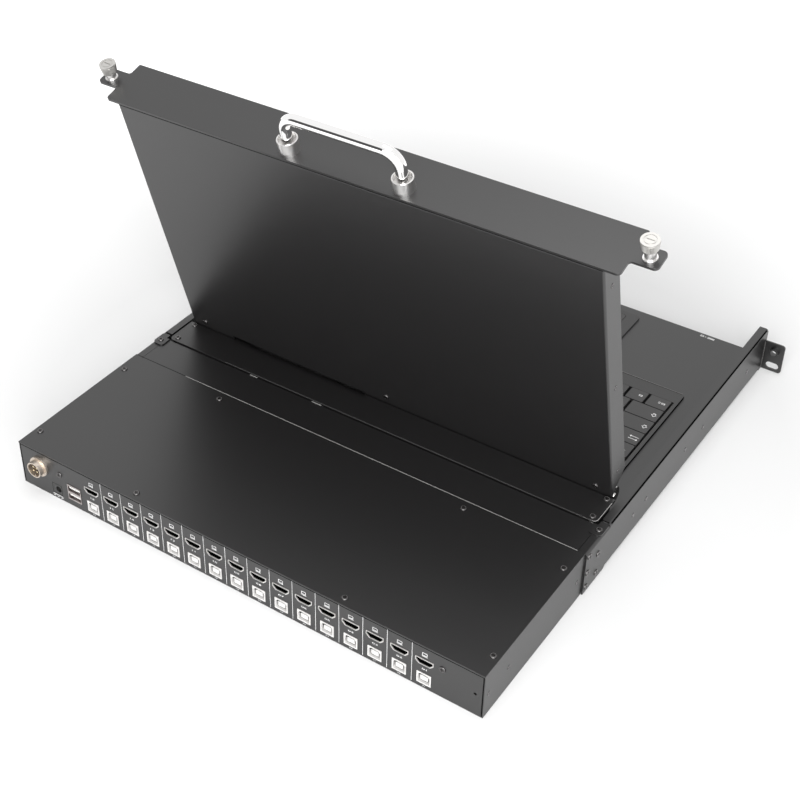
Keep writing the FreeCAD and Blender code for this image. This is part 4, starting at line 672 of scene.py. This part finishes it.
def socket_contacts():
    corners, faces = [], []
    for x in PORT_XS:
        for k in CONTACT_ROW:
            centre = (x + k * CONTACT_PITCH, REAR_Y - CONTACT_DEPTH, CONTACT_Z)
            add_block(corners, faces, centre, CONTACT_SIZE)
    mesh_piece("hdmi_contacts", "chassis", CONTACT, corners, faces)


def socket_shade_liners():
    """Near-black walls and floor inside each video socket, painted shade."""
    corners, faces = [], []
    count = len(HDMI_LINER)
    for x in PORT_XS:
        first = len(corners)
        for depth in (LINER_FRONT, LINER_DEPTH):
            corners += [at(x + u, REAR_Y - depth, HDMI_Z + v) for u, v in HDMI_LINER]
        for k in range(count):
            after = (k + 1) % count
            faces.append((first + k, first + after, first + count + after, first + count + k))
        faces.append(tuple(first + count + k for k in range(count)))
    mesh_piece("hdmi_shade_liners", "chassis", PAINTED_SHADE, corners, faces)


def usb_shade_lines():
    """Painted shade: a dark line round the inner block of each square socket, and at the step at its corner."""
    half_u, half_v = USB_B_HALF
    lines = frame_of(-half_u, -half_v, half_u, half_v, USB_B_LINE)
    lines += [bar(-4.4, 1.6, -3.2, 3.0), bar(-3.4, 2.4, -1.6, 3.4)]
    shapes = []
    for x in PORT_XS:
        shapes += moved(lines, -x, USB_B_Z)
    print_on_rear("usb_shade_lines", PAINTED_SHADE, shapes, USB_B_SUNK)


# Area of the display that can light up, dark while it is off

SCREEN_HALF = 186.0
SCREEN_LENGTH = 213.0
SCREEN_Y0 = 14.0
SCREEN_FACE_Z = 22.9


def screen_area():
    shapes = [bar(-SCREEN_HALF, 0, SCREEN_HALF, SCREEN_LENGTH)]
    origin = (0, SCREEN_Y0, SCREEN_FACE_Z)
    print_piece("screen_area", "lid", DISPLAY, origin, (1, 0, 0), (0, 1, 0), shapes, LID_TURN)


# Camera

def set_camera():
    data = bpy.data.cameras.new("camera")
    data.sensor_width = SENSOR_MM
    data.lens = FOCAL_PX / PHOTO_PX * SENSOR_MM
    data.shift_x = (PHOTO_PX / 2 - CENTRE_PX[0]) / PHOTO_PX
    data.shift_y = (CENTRE_PX[1] - PHOTO_PX / 2) / PHOTO_PX
    data.clip_start = 0.05
    data.clip_end = 20.0
    camera = bpy.data.objects.new("camera", data)
    forward = Vector(CAMERA_FORWARD).normalized()
    right = Vector(CAMERA_RIGHT).normalized()
    up = right.cross(forward)
    turn = Matrix((right, up, -forward)).transposed().to_4x4()
    camera.matrix_world = Matrix.Translation(at(*CAMERA_AT)) @ turn
    bpy.context.scene.collection.objects.link(camera)
    bpy.context.scene.camera = camera


# Shader sums, each adding its nodes to the given tree and returning its output

def combined(tree, operation, first, second):
    node = tree.nodes.new("ShaderNodeMath")
    node.operation = operation
    tree.links.new(first, node.inputs[0])
    tree.links.new(second, node.inputs[1])
    return node.outputs["Value"]


def mapped(tree, value, from_range, to_range):
    node = tree.nodes.new("ShaderNodeMapRange")
    for name, level in zip(("From Min", "From Max", "To Min", "To Max"), (*from_range, *to_range)):
        node.inputs[name].default_value = level
    tree.links.new(value, node.inputs["Value"])
    return node.outputs["Result"]


def seen_level(tree, low, high):
    """high for rays from the camera and those that mirror or pass through a surface, low for the rest."""
    ray = tree.nodes.new("ShaderNodeLightPath")
    seen = ray.outputs["Is Camera Ray"]
    for kind in ("Is Glossy Ray", "Is Transmission Ray"):
        seen = combined(tree, "MAXIMUM", seen, ray.outputs[kind])
    return mapped(tree, seen, (0.0, 1.0), (low, high))


def tent_opening(tree):
    """Share of the tent's light that is left for a mirrored ray: little towards its dark opening."""
    where = tree.nodes.new("ShaderNodeTexCoord")
    facing = tree.nodes.new("ShaderNodeVectorMath")
    facing.operation = "DOT_PRODUCT"
    tree.links.new(where.outputs["Generated"], facing.inputs[0])
    facing.inputs[1].default_value = Vector(OPENING_AT).normalized()
    shade = mapped(tree, facing.outputs["Value"], (OPENING_EDGE, OPENING_FULL), (0.0, OPENING_DEPTH))
    ray = tree.nodes.new("ShaderNodeLightPath")
    mirrored = combined(tree, "MULTIPLY", ray.outputs["Is Glossy Ray"], shade)
    return mapped(tree, mirrored, (0.0, 1.0), (1.0, 0.0))


# World, floor and lamps

def set_world():
    """White where it is seen, and a dimmer tent as a light."""
    world = bpy.data.worlds.new("world")
    bpy.context.scene.world = world
    world.use_nodes = True
    tree = world.node_tree
    tree.nodes.clear()
    out = tree.nodes.new("ShaderNodeOutputWorld")
    light = tree.nodes.new("ShaderNodeBackground")
    light.inputs["Color"].default_value = (1, 1, 1, 1)
    level = combined(tree, "MULTIPLY", seen_level(tree, TENT_LIGHT, 1.0), tent_opening(tree))
    tree.links.new(level, light.inputs["Strength"])
    tree.links.new(light.outputs["Background"], out.inputs["Surface"])


def floor_look():
    """White that reads as the backdrop where it is seen, and still takes a soft shadow."""
    mat = material("floor_look", (FLOOR_WHITE, FLOOR_WHITE, FLOOR_WHITE), 0.0, 0.9, 0.0)
    tree = mat.node_tree
    shader = tree.nodes["Principled BSDF"]
    shader.inputs["Emission Color"].default_value = (1, 1, 1, 1)
    where = tree.nodes.new("ShaderNodeNewGeometry")
    reach = tree.nodes.new("ShaderNodeVectorMath")
    reach.operation = "LENGTH"
    tree.links.new(where.outputs["Position"], reach.inputs[0])
    glow = mapped(tree, reach.outputs["Value"], (FLOOR_NEAR, FLOOR_FAR), (FLOOR_GLOW_NEAR, FLOOR_GLOW_FAR))
    level = combined(tree, "MULTIPLY", seen_level(tree, 0.0, 1.0), glow)
    tree.links.new(level, shader.inputs["Emission Strength"])
    return mat


def set_floor():
    half = FLOOR_SIZE / 2
    mesh = bpy.data.meshes.new("floor")
    mesh.from_pydata([(x, y, -FLOOR_DROP) for x, y in bar(-half, -half, half, half)], [], [(0, 1, 2, 3)])
    mesh.materials.append(floor_look())
    floor = bpy.data.objects.new("floor", mesh)
    bpy.context.scene.collection.objects.link(floor)


def set_lamps():
    """Soft boxes on a dome round the object."""
    for azimuth, elevation, watts in LAMPS:
        turn, rise = math.radians(azimuth), math.radians(elevation)
        away = Vector((math.cos(turn) * math.cos(rise), math.sin(turn) * math.cos(rise), math.sin(rise)))
        name = "lamp_%d_%d" % (azimuth, elevation)
        data = bpy.data.lights.new(name, "AREA")
        data.shape = "SQUARE"
        data.size = LAMP_SIZE
        data.energy = watts
        lamp = bpy.data.objects.new(name, data)
        facing = (-away).to_track_quat("-Z", "Y").to_matrix().to_4x4()
        lamp.matrix_world = Matrix.Translation(Vector(LAMP_TARGET) + away * LAMP_DISTANCE) @ facing
        bpy.context.scene.collection.objects.link(lamp)


def build():
    dress_nodes()
    rear_print()
    rear_shade_lines()
    key_legends()
    deck_mark()
    thumb_knurls()
    socket_contacts()
    socket_shade_liners()
    usb_shade_lines()
    seam_painted_light()
    plate_painted_highlights()
    cover_gap_highlights()
    bend_shade_lines()
    keyboard_painted_light()
    panel_shade_line()
    ear_fold_highlights()
    screw_highlight_rings("cover_screw_highlights", "chassis", COVER_SCREWS)
    screw_highlight_rings("plate_screw_highlights", "drawer", PLATE_SCREWS)
    screen_area()
    set_camera()
    set_world()
    set_floor()
    set_lamps()
    bpy.context.scene.view_settings.view_transform = "Standard"


build()
